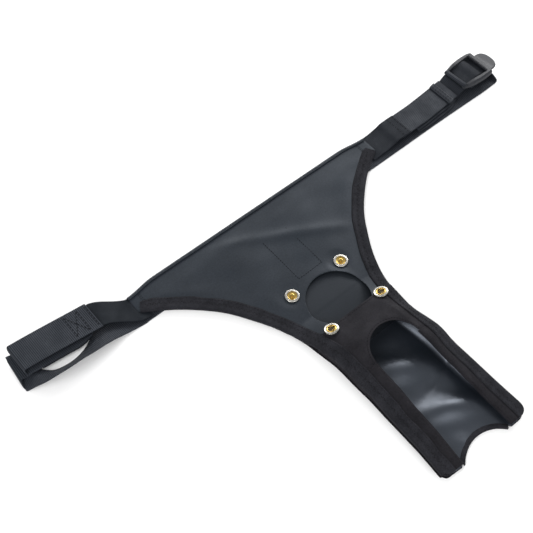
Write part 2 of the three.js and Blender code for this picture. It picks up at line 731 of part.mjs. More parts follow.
function webSection(x, y, z, roll, dx, dz) {
  const c = Math.cos(roll) * WEB_W / 2;
  const s = Math.sin(roll) * WEB_W / 2;
  const [tx, tz] = [dz * WEB_T / 2, dx * WEB_T / 2];
  return [
    v3(x - tx, y - c, z + s + tz), v3(x + tx, y - c, z + s - tz),
    v3(x + tx, y + c, z - s - tz), v3(x - tx, y + c, z - s + tz),
  ];
}

function leftLoop() {
  const sections = L_ROLL.map(([past, edge, lift]) => {
    const roll = Math.asin(lift / WEB_W);
    const y = edge + (1 - Math.cos(roll)) * WEB_W / 2;
    return webSection(-STRAP_START - past, y, WEB_MID + lift / 2, roll, 1, 0);
  });
  const [endPast, endY] = L_ROLL.at(-1);
  const endX = -STRAP_START - endPast;
  const r = (L_LOW - WEB_MID) / 2;
  for (let i = 1; i <= TURN_STEPS; i += 1) {
    const a = Math.PI * i / TURN_STEPS;
    const y = lerp(endY, leftShift(endX), i / TURN_STEPS);
    sections.push(webSection(endX - r * Math.sin(a), y, WEB_MID + r - r * Math.cos(a), 0, Math.cos(a), -Math.sin(a)));
  }
  sections.push(webSection(L_CUT - GAP, leftShift(L_CUT), L_LOW, 0, -1, 0));
  add('left_loop', loft(sections), 'webbing');
}

backStrap();
rightStraps();
strapHem();
leftStraps();
leftLoop();

// ---- buckle --------------------------------------------------------------------------------------
const LOCK_IN = WEB_W / 2 + 0.8;           // half the width inside the buckle
const RAIL_W = 3.6;                        // width of each side rail
const LOCK_OUT = LOCK_IN + RAIL_W;
const GRIP_W = 5;                          // width and depth of the grip bar
const GRIP_H = 3.4;
const TOOTH_H = 0.6;
const TEETH = 10;
const TAB_REACH = 12;                      // length, half width and thickness of the thumb tab
const TAB_HALF = 12;
const TAB_T = 2.2;
const NOSE_X = BAR_X - 2;                  // the rails' rounded end around the fixed bar
const NOSE_R = 1.6;
const HEEL_X = GRIP_X + GRIP_W;            // and their far end

function railGeometry(side) {
  const shape = new THREE.Shape();
  shape.moveTo(NOSE_X, BAR_Z - NOSE_R);
  shape.lineTo(NOSE_X + 5, LOCK_LOW);
  shape.lineTo(HEEL_X - 6, LOCK_LOW);
  shape.lineTo(HEEL_X, LOCK_LOW + 2);
  shape.lineTo(HEEL_X, LOCK_TOP - 1);
  shape.lineTo(HEEL_X - 4, LOCK_TOP);
  shape.lineTo(NOSE_X + 14, LOCK_TOP - 0.4);
  shape.lineTo(NOSE_X, BAR_Z + NOSE_R);
  shape.closePath();
  const geometry = new THREE.ExtrudeGeometry(shape, { depth: RAIL_W, bevelEnabled: false });
  geometry.rotateX(Math.PI / 2);
  geometry.translate(0, side > 0 ? LOCK_OUT : -LOCK_IN, 0);
  return geometry;
}

const MID_BAR_Z = LOCK_LOW + BAR_R + 0.7;

function barGeometry(x, z) {
  const geometry = new THREE.CylinderGeometry(BAR_R, BAR_R, 2 * LOCK_IN + 1, 20);
  geometry.translate(x, 0, z);
  return geometry;
}

const GRIP_TOP = LOCK_TOP - TOOTH_H;
const GRIP_LOW = GRIP_TOP - GRIP_H;

// The grip bar carries a row of teeth that bite the webbing.
function gripSolid() {
  const half = LOCK_IN + 0.5;
  let solid = toSolid(box(GRIP_X, HEEL_X, -half, half, GRIP_LOW, GRIP_TOP));
  const pitch = 2 * LOCK_IN / TEETH;
  for (let i = 0; i < TEETH; i += 1) {
    const y = -LOCK_IN + pitch * (i + 0.5);
    const tooth = box(GRIP_X + 1, HEEL_X - 1, y - pitch / 4, y + pitch / 4, GRIP_TOP - TOOTH_H, LOCK_TOP);
    solid = solid.add(toSolid(tooth));
  }
  return solid;
}

function tabGeometry() {
  const shape = new THREE.Shape();
  const x = HEEL_X - 0.5;
  const tip = x + TAB_REACH + 1;
  shape.moveTo(x, -TAB_HALF);
  shape.bezierCurveTo(x + TAB_REACH, -TAB_HALF, tip, -TAB_HALF / 2, tip, 0);
  shape.bezierCurveTo(tip, TAB_HALF / 2, x + TAB_REACH, TAB_HALF, x, TAB_HALF);
  shape.closePath();
  const top = GRIP_TOP - TOOTH_H;
  return plate(shape, top - TAB_T, top);
}

function ladderLock() {
  let solid = toSolid(railGeometry(1)).add(toSolid(railGeometry(-1)));
  solid = solid.add(toSolid(barGeometry(BAR_X, BAR_Z)));
  solid = solid.add(toSolid(barGeometry(MID_BAR_X, MID_BAR_Z)));
  solid = solid.add(gripSolid()).add(toSolid(tabGeometry()));
  add('ladder_lock', toGeometry(solid), 'plastic');
}

// Webbing that comes from under the grip bar, over the middle bar and down towards the fixed bar.
function adjusterWebbing() {
  const over = MID_BAR_Z + BAR_R + GAP + WEB_MID;
  const under = GRIP_LOW - GAP - WEB_MID;
  const low = LOCK_LOW + GAP + WEB_MID;
  const crown = BAR_R - 0.1;
  const path = [
    [BAR_X + WRAP_R + WEB_T + 1, low], [MID_BAR_X - 7, over - 2.2], [MID_BAR_X - crown, over],
    [MID_BAR_X + crown, over], [MID_BAR_X + 8, under - 0.2], [HEEL_X + 2, under - 0.6],
  ];
  ribbon('adjuster_webbing', path);
}

ladderLock();
adjusterWebbing();

export default group;
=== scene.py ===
"""Cloth, webbing, hardware and stage of a chest harness for a transceiver, around its CAD frame."""

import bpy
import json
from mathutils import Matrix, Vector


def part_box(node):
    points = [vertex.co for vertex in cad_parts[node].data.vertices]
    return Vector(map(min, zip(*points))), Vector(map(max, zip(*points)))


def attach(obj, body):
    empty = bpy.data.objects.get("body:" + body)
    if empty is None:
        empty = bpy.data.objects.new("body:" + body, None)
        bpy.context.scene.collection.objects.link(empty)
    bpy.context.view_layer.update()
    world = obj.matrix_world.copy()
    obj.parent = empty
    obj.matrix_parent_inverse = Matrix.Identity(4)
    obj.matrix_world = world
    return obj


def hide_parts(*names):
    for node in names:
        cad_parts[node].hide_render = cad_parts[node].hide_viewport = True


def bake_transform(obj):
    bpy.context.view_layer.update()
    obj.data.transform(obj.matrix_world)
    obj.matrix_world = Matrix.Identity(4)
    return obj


bl_info = {
    "name": "Transceiver harness",
    "version": (1, 0, 0),
    "blender": (4, 5, 0),
    "location": "3D View > Sidebar > Harness",
    "description": "Builds the cloth, webbing, snaps and buckle of a chest harness around its CAD frame",
    "category": "Object",
}

import json
import math

import bpy
import numpy as np
from mathutils import Matrix, Vector

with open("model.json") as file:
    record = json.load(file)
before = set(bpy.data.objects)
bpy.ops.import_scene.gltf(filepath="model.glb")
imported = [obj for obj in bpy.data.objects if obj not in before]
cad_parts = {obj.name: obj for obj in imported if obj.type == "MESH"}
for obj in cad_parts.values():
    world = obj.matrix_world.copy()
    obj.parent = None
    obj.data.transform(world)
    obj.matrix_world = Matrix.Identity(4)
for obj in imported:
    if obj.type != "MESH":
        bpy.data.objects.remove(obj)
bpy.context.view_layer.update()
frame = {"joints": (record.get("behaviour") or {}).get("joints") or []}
MM = 0.001


def node_box(name):
    """A CAD node's lowest and highest corners in millimetres."""
    low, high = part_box(name)
    return np.array(low) / MM, np.array(high) / MM


def joint_mm(name):
    """A joint's place in millimetres."""
    joint = next(j for j in frame["joints"] if j["name"] == name)
    return np.array(joint["pos_m"]) / MM


# ---- sizes in millimetres, taken from the frame --------------------------------------------------
PANEL_LOW, PANEL_HIGH = node_box("chest_panel")
WING_SPAN = PANEL_HIGH[0]
TOP_Y = PANEL_HIGH[1]
PANEL_TOP = PANEL_HIGH[2]
PANEL_T = PANEL_HIGH[2] - PANEL_LOW[2]
BACKING_LOW, BACKING_HIGH = node_box("chest_backing")
BACKING_TOP = BACKING_HIGH[2]
LINER_T = BACKING_HIGH[2] - BACKING_LOW[2]
TAPE_LOW = node_box("wing_binding_right")[0]
TOP_TAPE_LOW = node_box("top_binding")[0]
LEG_END_Y = node_box("leg_back")[0][1]
STRIP_HIGH = node_box("pocket_strip_right")[1]
BRIDGE_LOW, BRIDGE_HIGH = node_box("pocket_bridge")
STRAP_LOW, STRAP_HIGH = node_box("back_strap")
WEB_T = STRAP_HIGH[2]
WEB_W = STRAP_HIGH[1] - STRAP_LOW[1]
FOLD = joint_mm("leg_fold")
RIGHT_HINGE = joint_mm("right_strap_lift")
BAR = joint_mm("buckle_tilt")

# Edge binding, and the gap between pieces that lie on each other.
BIND_W = 12.0
GAP = 0.3
# Wing tip, and the place where the side curve meets the leg's straight side.
TIP_Y = -2.0
LEG_JOIN_Y = -165.0
LEG_HALF = 50.0
LEG_FLARE = 2.5
# Round opening in the neck.
HOLE_R = 32.0
HOLE_Y = FOLD[1] - 2.5
# The leg rises at this slope to its highest place, then falls to its end.
APEX_Y = -170.0
LEG_TILT = 20.0
SLOPE = math.tan(math.radians(LEG_TILT))
SIDE_H = 12.0
SIDE_END_H = 7.0
POCKET_END_H = 8.5
# Pocket window, and the notch in the leg's end.
WINDOW_HALF = 27.0
WINDOW_FLARE = 3.0
NOTCH_R = 38.0
NOTCH_DEPTH = 14.0
# Snaps: off the middle line, and along the panel or the leg from the fold.
SNAP_X = 32.0
SNAP_Y = 29.0


# ---- shape helpers -------------------------------------------------------------------------------
def smooth(low, high, value):
    """0 at low, 1 at high, eased between and held outside."""
    t = np.clip((np.asarray(value, float) - low) / (high - low), 0, 1)
    return t * t * (3 - 2 * t)


def bump(value, centre, width):
    """A soft hill of height 1."""
    return np.exp(-((np.asarray(value, float) - centre) / width) ** 2)


def ripples(x, y, seed, length, count=7):
    """Soft uneven waves of about the given length, between -1 and 1."""
    random = np.random.default_rng(seed)
    total = np.zeros(np.broadcast(x, y).shape)
    for _ in range(count):
        angle = random.uniform(0, 2 * math.pi)
        size = length * random.uniform(0.6, 1.6)
        phase = random.uniform(0, 2 * math.pi)
        total += np.sin((x * math.cos(angle) + y * math.sin(angle)) * 2 * math.pi / size + phase)
    return total / count ** 0.5 / 1.6


def side_curve():
    """Points of the right-hand edge from the wing tip to the leg."""
    t = np.linspace(0, 1, 241)[:, None]
    a = np.array([WING_SPAN, TIP_Y])
    b = np.array([WING_SPAN - 60, TIP_Y - 60 * 0.53])
    c = np.array([LEG_HALF + 5, LEG_JOIN_Y + 70])
    d = np.array([LEG_HALF, LEG_JOIN_Y])
    return (1 - t) ** 3 * a + 3 * (1 - t) ** 2 * t * b + 3 * (1 - t) * t ** 2 * c + t ** 3 * d


SIDE = side_curve()


def half_width(y):
    """Half the width of the body at a height down the leg."""
    y = np.asarray(y, float)
    curve = np.interp(-y, -SIDE[:, 1], SIDE[:, 0])
    leg = LEG_HALF + LEG_FLARE * (LEG_JOIN_Y - y) / (LEG_JOIN_Y - LEG_END_Y)
    return np.where(y < LEG_JOIN_Y, leg, curve)


PLANE_Z = FOLD[2] - 2.6 / math.cos(math.radians(LEG_TILT))
APEX_Z = PLANE_Z + (FOLD[1] - APEX_Y) * SLOPE


def crest_z(y):
    """Height of the leg's front along its middle."""
    y = np.asarray(y, float)
    rising = PLANE_Z + (FOLD[1] - y) * SLOPE
    falling = APEX_Z + (POCKET_END_H - APEX_Z) * (APEX_Y - y) / (APEX_Y - LEG_END_Y)
    blend = smooth(-12, 12, APEX_Y - y)
    return rising * (1 - blend) + falling * blend


def edge_z(y):
    """Height of the leg's front along its sides."""
    y = np.asarray(y, float)
    rising = SIDE_H + (PLANE_Z - SIDE_H) * smooth(APEX_Y, FOLD[1], y)
    falling = SIDE_H + (SIDE_END_H - SIDE_H) * (APEX_Y - y) / (APEX_Y - LEG_END_Y)
    return np.where(y > APEX_Y, rising, falling)


def base_top(x, y):
    """Top of the leg's base layer."""
    share = np.clip((np.abs(x) - WINDOW_HALF) / (half_width(y) - WINDOW_HALF), 0, 1)
    high = crest_z(y)
    return high + (edge_z(y) - high) * share ** 1.25


def floor_low(y):
    """Underside of the leg's back fabric."""
    return TAPE_LOW[2] * smooth(-147, FOLD[1], y)


def window_half(y):
    """Half the width of the pocket's window, which flares towards the leg's end."""
    start = APEX_Y - WINDOW_HALF
    return WINDOW_HALF + WINDOW_FLARE * np.clip((start - y) / (start - LEG_END_Y), 0, 1)


# ---- lie of the cloth ----------------------------------------------------------------------------
# How far each side's edge lies in or out of its straight pattern: place down the body, offset.
RIGHT_LIE = ((-311, -1.6), (-260, -2.6), (-222, -2.8), (-206, -0.8), (-190, -2.6), (-172, -5.2), (-150, -5.8),
             (-120, -5.0), (-80, -4.0), (-40, -2.2), (0, -0.6))
LEFT_LIE = ((-311, 0.2), (-285, -1.0), (-250, -1.6), (-215, -1.8), (-180, -0.8), (-150, 0.3), (-120, 0.5),
            (-60, 0), (0, 0))


def lie_of(rows, y):
    """The offset at a place down the body, read off a table and softened."""
    places, offsets = zip(*rows)
    return sum(np.interp(y + shift, places, offsets) for shift in (-6, -3, 0, 3, 6)) / 5


def settled(points):
    """The lie of the cloth: the same gentle pull sideways and up for every layer at a place."""
    p = np.array(points, float)
    x, y = p[:, 0].copy(), p[:, 1].copy()
    body = smooth(0, 24, -y)
    leg = smooth(0, 34, BRIDGE_HIGH[1] - y)
    right = smooth(12, 50, x)
    left = smooth(12, 50, -x)
    p[:, 0] += body * right * lie_of(RIGHT_LIE, y) - body * left * lie_of(LEFT_LIE, y)
    p[:, 0] += body * (right - left) * 0.45 * ripples(0 * x, y, 81, 26)
    p[:, 1] -= smooth(46, 0, y - LEG_END_Y) * (3.4 - 2.4 * left)
    tip = smooth(34, 0, WING_SPAN - np.abs(x))
    p[:, 1] -= tip * smooth(-2, TOP_Y, y) * np.where(x < 0, 4.0, 3.5)
    for side, radius in ((-1, 5.0), (1, 9.0)):
        into = np.clip(half_width(y) - side * p[:, 0] - 1.5, 0, radius)
        p[:, 1] += smooth(16, 0, y - LEG_END_Y) * (radius - np.sqrt(radius ** 2 - (radius - into) ** 2))
    high = np.clip(p[:, 2] - 3.5, 0, 12) / 12
    p[:, 2] += leg * high * (1.4 * right * bump(y, -203, 16) - 1.6 * right * bump(y, -165, 22)
                             + 1.0 * right * bump(y, -262, 18) + 1.3 * left * bump(y, -205, 22)
                             - 0.8 * left * bump(y, -246, 16))
    return p


# ---- mesh helpers --------------------------------------------------------------------------------
def make_object(name, verts, faces, material, flat=None, sharp=38, lies=False):
    """A mesh object from millimetre points, with faces outward and an optional flat-cloth coordinate."""
    verts = settled(verts) if lies else np.asarray(verts, float)
    mesh = bpy.data.meshes.new(name)
    mesh.from_pydata((verts * MM).tolist(), [], faces)
    mesh.validate()
    if signed_volume(verts, faces) < 0:
        mesh.flip_normals()
    mesh.shade_smooth()
    mesh.set_sharp_from_angle(angle=math.radians(sharp))
    layer = mesh.attributes.new("flat", "FLOAT_VECTOR", "POINT")
    flat = verts if flat is None else flat
    layer.data.foreach_set("vector", np.asarray(flat, np.float32).ravel())
    obj = bpy.data.objects.new(name, mesh)
    bpy.context.scene.collection.objects.link(obj)
    mesh.materials.append(material)
    return obj


def signed_volume(verts, faces):
    """Six times the volume, above 0 where the faces look outward."""
    total = 0.0
    for face in faces:
        a = verts[face[0]]
        for i in range(1, len(face) - 1):
            total += np.dot(a, np.cross(verts[face[i]], verts[face[i + 1]]))
    return total


def grid_faces(rows, cols, start=0, wrap=False):
    """Quads of a grid whose rows follow each other in the point list."""
    last = cols if wrap else cols - 1
    i, j = np.meshgrid(np.arange(rows - 1), np.arange(last), indexing="ij")
    k = (j + 1) % cols
    a = start + i * cols + j
    b = start + i * cols + k
    quads = np.stack([a, b, b + cols, a + cols], axis=-1)
    return quads.reshape(-1, 4).tolist()


def grid_normals(top):
    """Unit normals of a grid of points, upward on the whole."""
    du = np.gradient(top, axis=0)
    dv = np.gradient(top, axis=1)
    n = np.cross(du, dv)
    n /= np.linalg.norm(n, axis=-1, keepdims=True) + 1e-12
    return n if n[..., 2].mean() > 0 else -n


def make_sheet(name, top, thickness, material, flat=None, round_edge=True, lies=True):
    """A closed cloth whose upper face is a grid of points, with softly rounded edges."""
    rows, cols = top.shape[:2]
    normal = grid_normals(top)
    low = top - normal * thickness
    if round_edge:
        mid = (top + low) / 2
        border = np.zeros((rows, cols, 1), bool)
        border[0], border[-1], border[:, 0], border[:, -1] = True, True, True, True
        top = np.where(border, mid + (top - mid) * 0.45, top)
        low = np.where(border, mid + (low - mid) * 0.45, low)
    verts = np.concatenate([top.reshape(-1, 3), low.reshape(-1, 3)])
    count = rows * cols
    faces = grid_faces(rows, cols)
    faces += [list(reversed(f)) for f in grid_faces(rows, cols, count)]
    ring = list(range(cols))
    ring += [i * cols + cols - 1 for i in range(1, rows)]
    ring += [(rows - 1) * cols + j for j in range(cols - 2, -1, -1)]
    ring += [i * cols for i in range(rows - 2, 0, -1)]
    for a, b in zip(ring, ring[1:] + ring[:1]):
        faces.append([b, a, a + count, b + count])
    flat_top = top if flat is None else flat
    flat_all = np.concatenate([flat_top.reshape(-1, 3), flat_top.reshape(-1, 3)])
    return make_object(name, verts, faces, material, flat_all, 50, lies)


def make_loft(name, sections, material, flat=None, sharp=50, lies=False):
    """A closed body through rows of closed sections with the same number of points."""
    sections = np.asarray(sections, float)
    rows, cols = sections.shape[:2]
    verts = sections.reshape(-1, 3)
    faces = grid_faces(rows, cols, wrap=True)
    faces.append(list(range(cols - 1, -1, -1)))
    faces.append([(rows - 1) * cols + j for j in range(cols)])
    flat_all = None if flat is None else np.asarray(flat, float).reshape(-1, 3)
    return make_object(name, verts, faces, material, flat_all, sharp, lies)


def cut_with(obj, tool):
    """Cuts a tool's shape out of an object and removes the tool."""
    modifier = obj.modifiers.new("cut", "BOOLEAN")
    modifier.operation = "DIFFERENCE"
    modifier.solver = "EXACT"
    modifier.object = tool
    graph = bpy.context.evaluated_depsgraph_get()
    mesh = bpy.data.meshes.new_from_object(obj.evaluated_get(graph))
    obj.modifiers.clear()
    obj.data = mesh
    bpy.data.objects.remove(tool)
    return obj


def round_tool(x, y, radius, z0, z1, sides=128):
    """An upright cylinder to cut with."""
    angle = np.linspace(0, 2 * math.pi, sides, endpoint=False)
    ring = np.stack([x + radius * np.cos(angle), y + radius * np.sin(angle)], axis=-1)
    rows = [np.column_stack([ring, np.full(sides, z)]) for z in (z0, z1)]
    return make_loft("cutter", rows, None)


def resample(points, step):
    """Evenly spaced points along a smooth curve through the given points."""
    points = np.asarray(points, float)
    padded = np.vstack([2 * points[0] - points[1], points, 2 * points[-1] - points[-2]])
    dense = []
    for p0, p1, p2, p3 in zip(padded, padded[1:], padded[2:], padded[3:]):
        t = np.linspace(0, 1, 24, endpoint=False)[:, None]
        dense.append(0.5 * (2 * p1 + (p2 - p0) * t + (2 * p0 - 5 * p1 + 4 * p2 - p3) * t ** 2
                            + (3 * p1 - p0 - 3 * p2 + p3) * t ** 3))
    dense = np.vstack(dense + [points[-1:]])
    run = np.concatenate([[0], np.cumsum(np.linalg.norm(np.diff(dense, axis=0), axis=1))])
    stations = np.linspace(0, run[-1], max(3, int(run[-1] / step) + 1))
    return np.column_stack([np.interp(stations, run, dense[:, k]) for k in range(dense.shape[1])]), stations


# ---- materials -----------------------------------------------------------------------------------
def group_tree(name, inputs, outputs):
    """A new shader node group with its sockets and its two end nodes."""
    tree = bpy.data.node_groups.new(name, "ShaderNodeTree")
    for socket, kind, value in inputs:
        item = tree.interface.new_socket(name=socket, in_out="INPUT", socket_type=kind)
        if value is not None:
            item.default_value = value
    for socket, kind in outputs:
        tree.interface.new_socket(name=socket, in_out="OUTPUT", socket_type=kind)
    return tree, tree.nodes.new("NodeGroupInput"), tree.nodes.new("NodeGroupOutput")


def math_node(tree, operation, a, b=None, clamp=False):
    """A math node's output; a and b are numbers or sockets."""
    node = tree.nodes.new("ShaderNodeMath")
    node.operation = operation
    node.use_clamp = clamp
    for index, value in enumerate((a, b)):
        if value is None:
            continue
        if isinstance(value, (int, float)):
            node.inputs[index].default_value = value
        else:
            tree.links.new(value, node.inputs[index])
    return node.outputs[0]


def weave_group():
    """Over-and-under threads: a height from 0 to 1 from the flat-cloth coordinate in millimetres."""
    tree, source, result = group_tree(
        "threads",
        [("Coordinate", "NodeSocketVector", None), ("Along", "NodeSocketFloat", 0.6),
         ("Across", "NodeSocketFloat", 0.6)],
        [("Height", "NodeSocketFloat")],
    )
    split = tree.nodes.new("ShaderNodeSeparateXYZ")
    tree.links.new(source.outputs["Coordinate"], split.inputs[0])
    waves = []
    for axis, pitch, wave in (("X", "Along", "SINE"), ("Y", "Across", "COSINE")):
        scaled = math_node(tree, "DIVIDE", split.outputs[axis], source.outputs[pitch])
        waves.append(math_node(tree, wave, math_node(tree, "MULTIPLY", scaled, 2 * math.pi)))
    both = math_node(tree, "MULTIPLY", waves[0], waves[1])
    half = math_node(tree, "MULTIPLY", both, 0.5)
    tree.links.new(math_node(tree, "ADD", half, 0.5), result.inputs["Height"])
    return tree


def mottle_group():
    """Soft uneven patches and fine fibre grain over a surface."""
    tree, source, result = group_tree(
        "mottle",
        [("Scale", "NodeSocketFloat", 20.0), ("Fine", "NodeSocketFloat", 900.0),
         ("Stretch", "NodeSocketVector", (1, 1, 1))],
        [("Patches", "NodeSocketFloat"), ("Grain", "NodeSocketFloat")],
    )
    place = tree.nodes.new("ShaderNodeTexCoord")
    stretch = tree.nodes.new("ShaderNodeVectorMath")
    stretch.operation = "MULTIPLY"
    tree.links.new(place.outputs["Object"], stretch.inputs[0])
    tree.links.new(source.outputs["Stretch"], stretch.inputs[1])
    for socket, output, detail in (("Scale", "Patches", 5.0), ("Fine", "Grain", 3.0)):
        cloud = tree.nodes.new("ShaderNodeTexNoise")
        cloud.inputs["Detail"].default_value = detail
        cloud.inputs["Roughness"].default_value = 0.6
        tree.links.new(stretch.outputs[0], cloud.inputs["Vector"])
        tree.links.new(source.outputs[socket], cloud.inputs["Scale"])
        tree.links.new(cloud.outputs["Fac"], result.inputs[output])
    return tree


GROUPS = {}


def shared_group(name):
    """The node group of this name, made once."""
    makers = {"threads": weave_group, "mottle": mottle_group}
    if name not in GROUPS:
        GROUPS[name] = makers[name]()
    return GROUPS[name]


def new_material(name):
    """A material with its node tree and its shader."""
    material = bpy.data.materials.new(name)
    material.use_nodes = True
    return material, material.node_tree, material.node_tree.nodes["Principled BSDF"]


def group_node(tree, name, **values):
    """A node of a shared group with values on its sockets."""
    node = tree.nodes.new("ShaderNodeGroup")
    node.node_tree = shared_group(name)
    for socket, value in values.items():
        node.inputs[socket].default_value = value
    return node


def ramp(tree, source, stops):
    """A colour ramp over a socket."""
    node = tree.nodes.new("ShaderNodeValToRGB")
    tree.links.new(source, node.inputs[0])
    elements = node.color_ramp.elements
    while len(elements) < len(stops):
        elements.new(0.5)
    for element, (place, value) in zip(elements, stops):
        element.position = place
        element.color = value if len(value) == 4 else (*value, 1)
    return node.outputs["Color"]


def grain_roughness(tree, mottle, shader, rough):
    """Roughness that follows the fine grain between two values."""
    stops = [(0.3, (rough[0],) * 3), (0.7, (rough[1],) * 3)]
    tree.links.new(ramp(tree, mottle.outputs["Grain"], stops), shader.inputs["Roughness"])


def patch_colour(tree, mottle, shader, stops):
    """Base colour that follows the soft patches."""
    tree.links.new(ramp(tree, mottle.outputs["Patches"], stops), shader.inputs["Base Color"])


def cloth_material(name, dark, light, rough, pitch, relief, scale, shine, weave=0.18, grain=0.12,
                   fine=1400.0):
    """Woven cloth: two tones in soft patches, a thread relief and fibre grain."""
    material, tree, shader = new_material(name)
    mottle = group_node(tree, "mottle", Scale=scale, Fine=fine)
    threads = group_node(tree, "threads", Along=pitch[0], Across=pitch[1])
    flat = tree.nodes.new("ShaderNodeAttribute")
    flat.attribute_name = "flat"
    tree.links.new(flat.outputs["Vector"], threads.inputs["Coordinate"])
    tone = math_node(tree, "ADD", math_node(tree, "MULTIPLY", mottle.outputs["Patches"], 1 - weave - grain),
                     math_node(tree, "MULTIPLY", threads.outputs["Height"], weave))
    tone = math_node(tree, "ADD", tone, math_node(tree, "MULTIPLY", mottle.outputs["Grain"], grain))
    tree.links.new(ramp(tree, tone, [(0.36, dark), (0.68, light)]), shader.inputs["Base Color"])
    rough_low = (rough[0],) * 3
    rough_high = (rough[1],) * 3
    tree.links.new(ramp(tree, mottle.outputs["Patches"], [(0.35, rough_high), (0.65, rough_low)]),
                   shader.inputs["Roughness"])
    height = math_node(tree, "ADD", threads.outputs["Height"],
                       math_node(tree, "MULTIPLY", mottle.outputs["Grain"], 0.5))
    relief_node = tree.nodes.new("ShaderNodeBump")
    relief_node.inputs["Strength"].default_value = 1.0
    relief_node.inputs["Distance"].default_value = relief * MM
    tree.links.new(height, relief_node.inputs["Height"])
    tree.links.new(relief_node.outputs["Normal"], shader.inputs["Normal"])
    shader.inputs["Specular Tint"].default_value = [0.5 + 0.5 * part / max(light) for part in light] + [1]
    shader.inputs["Specular IOR Level"].default_value = shine
    return material


def metal_material(name, tarnish, colour, rough):
    """Plated metal with tarnished patches."""
    material, tree, shader = new_material(name)
    mottle = group_node(tree, "mottle", Scale=160.0, Fine=600.0)
    patch_colour(tree, mottle, shader, [(0.35, tarnish), (0.6, colour)])
    grain_roughness(tree, mottle, shader, rough)
    shader.inputs["Metallic"].default_value = 1.0
    return material


def plastic_material(name, dark, light, rough):
    """Moulded plastic with a faint grain."""
    material, tree, shader = new_material(name)
    mottle = group_node(tree, "mottle", Scale=60.0, Fine=2200.0)
    patch_colour(tree, mottle, shader, [(0.3, dark), (0.7, light)])
    grain_roughness(tree, mottle, shader, rough)
    shader.inputs["Specular IOR Level"].default_value = 0.26
    relief = tree.nodes.new("ShaderNodeBump")
    relief.inputs["Distance"].default_value = 0.05 * MM
    tree.links.new(mottle.outputs["Grain"], relief.inputs["Height"])
    tree.links.new(relief.outputs["Normal"], shader.inputs["Normal"])
    return material


def dull_walls(material):
    """Takes the gloss off the cloth where it turns up at the pocket's sides."""
    tree = material.node_tree
    shader = tree.nodes["Principled BSDF"]
    flat = next(node for node in tree.nodes if node.bl_idname == "ShaderNodeAttribute")
    split = tree.nodes.new("ShaderNodeSeparateXYZ")
    tree.links.new(flat.outputs["Vector"], split.inputs[0])
    past = math_node(tree, "SUBTRACT", math_node(tree, "ABSOLUTE", split.outputs["X"]), WINDOW_HALF)
    wall = math_node(tree, "DIVIDE", past, 9.0, clamp=True)
    rough = shader.inputs["Roughness"].links[0].from_socket
    dull = math_node(tree, "MULTIPLY", wall, 0.9)
    tree.links.new(math_node(tree, "MAXIMUM", rough, dull), shader.inputs["Roughness"])


# Look: material's name, dark tone, light tone, roughness, thread pitch along and across, thread height,
# and the rest.
CLOTHS = {
    "coated": ("coated_cloth", (0.0048, 0.0065, 0.0092), (0.0150, 0.0190, 0.0250), (0.46, 0.62),
               (0.9, 0.9), 0.16, dict(scale=15.0, shine=0.30, grain=0.42, fine=700.0)),
    "backing": ("coated_backing", (0.0040, 0.0052, 0.0072), (0.0105, 0.0130, 0.0168), (0.46, 0.58),
                (1.0, 1.0), 0.08, dict(scale=25.0, shine=0.32, grain=0.30, fine=900.0)),
    "lining": ("gloss_lining", (0.0044, 0.0060, 0.0088), (0.0120, 0.0152, 0.0208), (0.31, 0.43),
               (1.1, 1.1), 0.14, dict(scale=30.0, shine=1.0, grain=0.30, fine=900.0)),
    "pocket": ("pocket_cloth", (0.0048, 0.0047, 0.0058), (0.0165, 0.0157, 0.0188), (0.82, 0.95),
               (0.8, 0.8), 0.22, dict(scale=40.0, shine=0.2, grain=0.45, fine=750.0)),
    "tape": ("edge_tape", (0.0056, 0.0058, 0.0072), (0.0236, 0.0238, 0.0290), (0.84, 0.96),
             (1.0, 1.4), 0.34, dict(scale=70.0, shine=0.2, grain=0.45, fine=800.0)),
    "ribbed": ("ribbed_webbing", (0.0034, 0.0044, 0.0064), (0.0215, 0.0252, 0.0325), (0.60, 0.76),
               (1.8, 1e6), 0.40, dict(scale=50.0, shine=0.35, weave=0.62, grain=0.15, fine=900.0)),
    "fine_web": ("fine_webbing", (0.0022, 0.0029, 0.0042), (0.0122, 0.0144, 0.0188), (0.62, 0.78),
                 (1.7, 1.7), 0.19, dict(scale=50.0, shine=0.2, weave=0.50, grain=0.25, fine=900.0)),
    "smooth_web": ("smooth_webbing", (0.0036, 0.0047, 0.0068), (0.0145, 0.0170, 0.0222), (0.58, 0.74),
                   (1.5, 1e6), 0.14, dict(scale=60.0, shine=0.28, weave=0.38, grain=0.3, fine=900.0)),
    "dark_web": ("dark_webbing", (0.0022, 0.0030, 0.0042), (0.0085, 0.0105, 0.0138), (0.60, 0.76),
                 (1.3, 1.3), 0.07, dict(scale=60.0, shine=0.16, weave=0.40, grain=0.3, fine=900.0)),
    # The thread's tone also colours the cord of painted shade along the binding's inner edge.
    "thread": ("sewing_thread", (0.0016, 0.0016, 0.0020), (0.0070, 0.0070, 0.0082), (0.7, 0.85),
               (0.4, 0.4), 0.05, dict(scale=200.0, shine=0.15)),
}
# Look: material's name, tarnished tone, bright tone, roughness.
METALS = {
    "nickel": ("nickel", (0.54, 0.52, 0.47), (0.62, 0.60, 0.56), (0.24, 0.32)),
    # The socket rings are a darker copy of the stud rings' nickel: painted shade, set against the lamps' reflection
    # on the leg's slope.
    "worn_nickel": ("worn_nickel", (0.27, 0.26, 0.23), (0.34, 0.33, 0.30), (0.24, 0.32)),
    # The well is a dark disc in the socket's cup: painted shade of its recess, in two dark tones.
    "well": ("dark_well", (0.024, 0.018, 0.012), (0.040, 0.030, 0.018), (0.45, 0.55)),
    "brass": ("brass", (0.42, 0.28, 0.07), (0.56, 0.39, 0.12), (0.22, 0.32)),
}
PLASTICS = {"plastic": ("buckle_plastic", (0.0150, 0.0165, 0.0205), (0.0240, 0.0262, 0.0315), (0.40, 0.52))}
LOOKS = {}


def default_tone(look):
    """The light tone that a look has at first."""
    return next(table[look][2] for table in (CLOTHS, METALS, PLASTICS) if look in table)


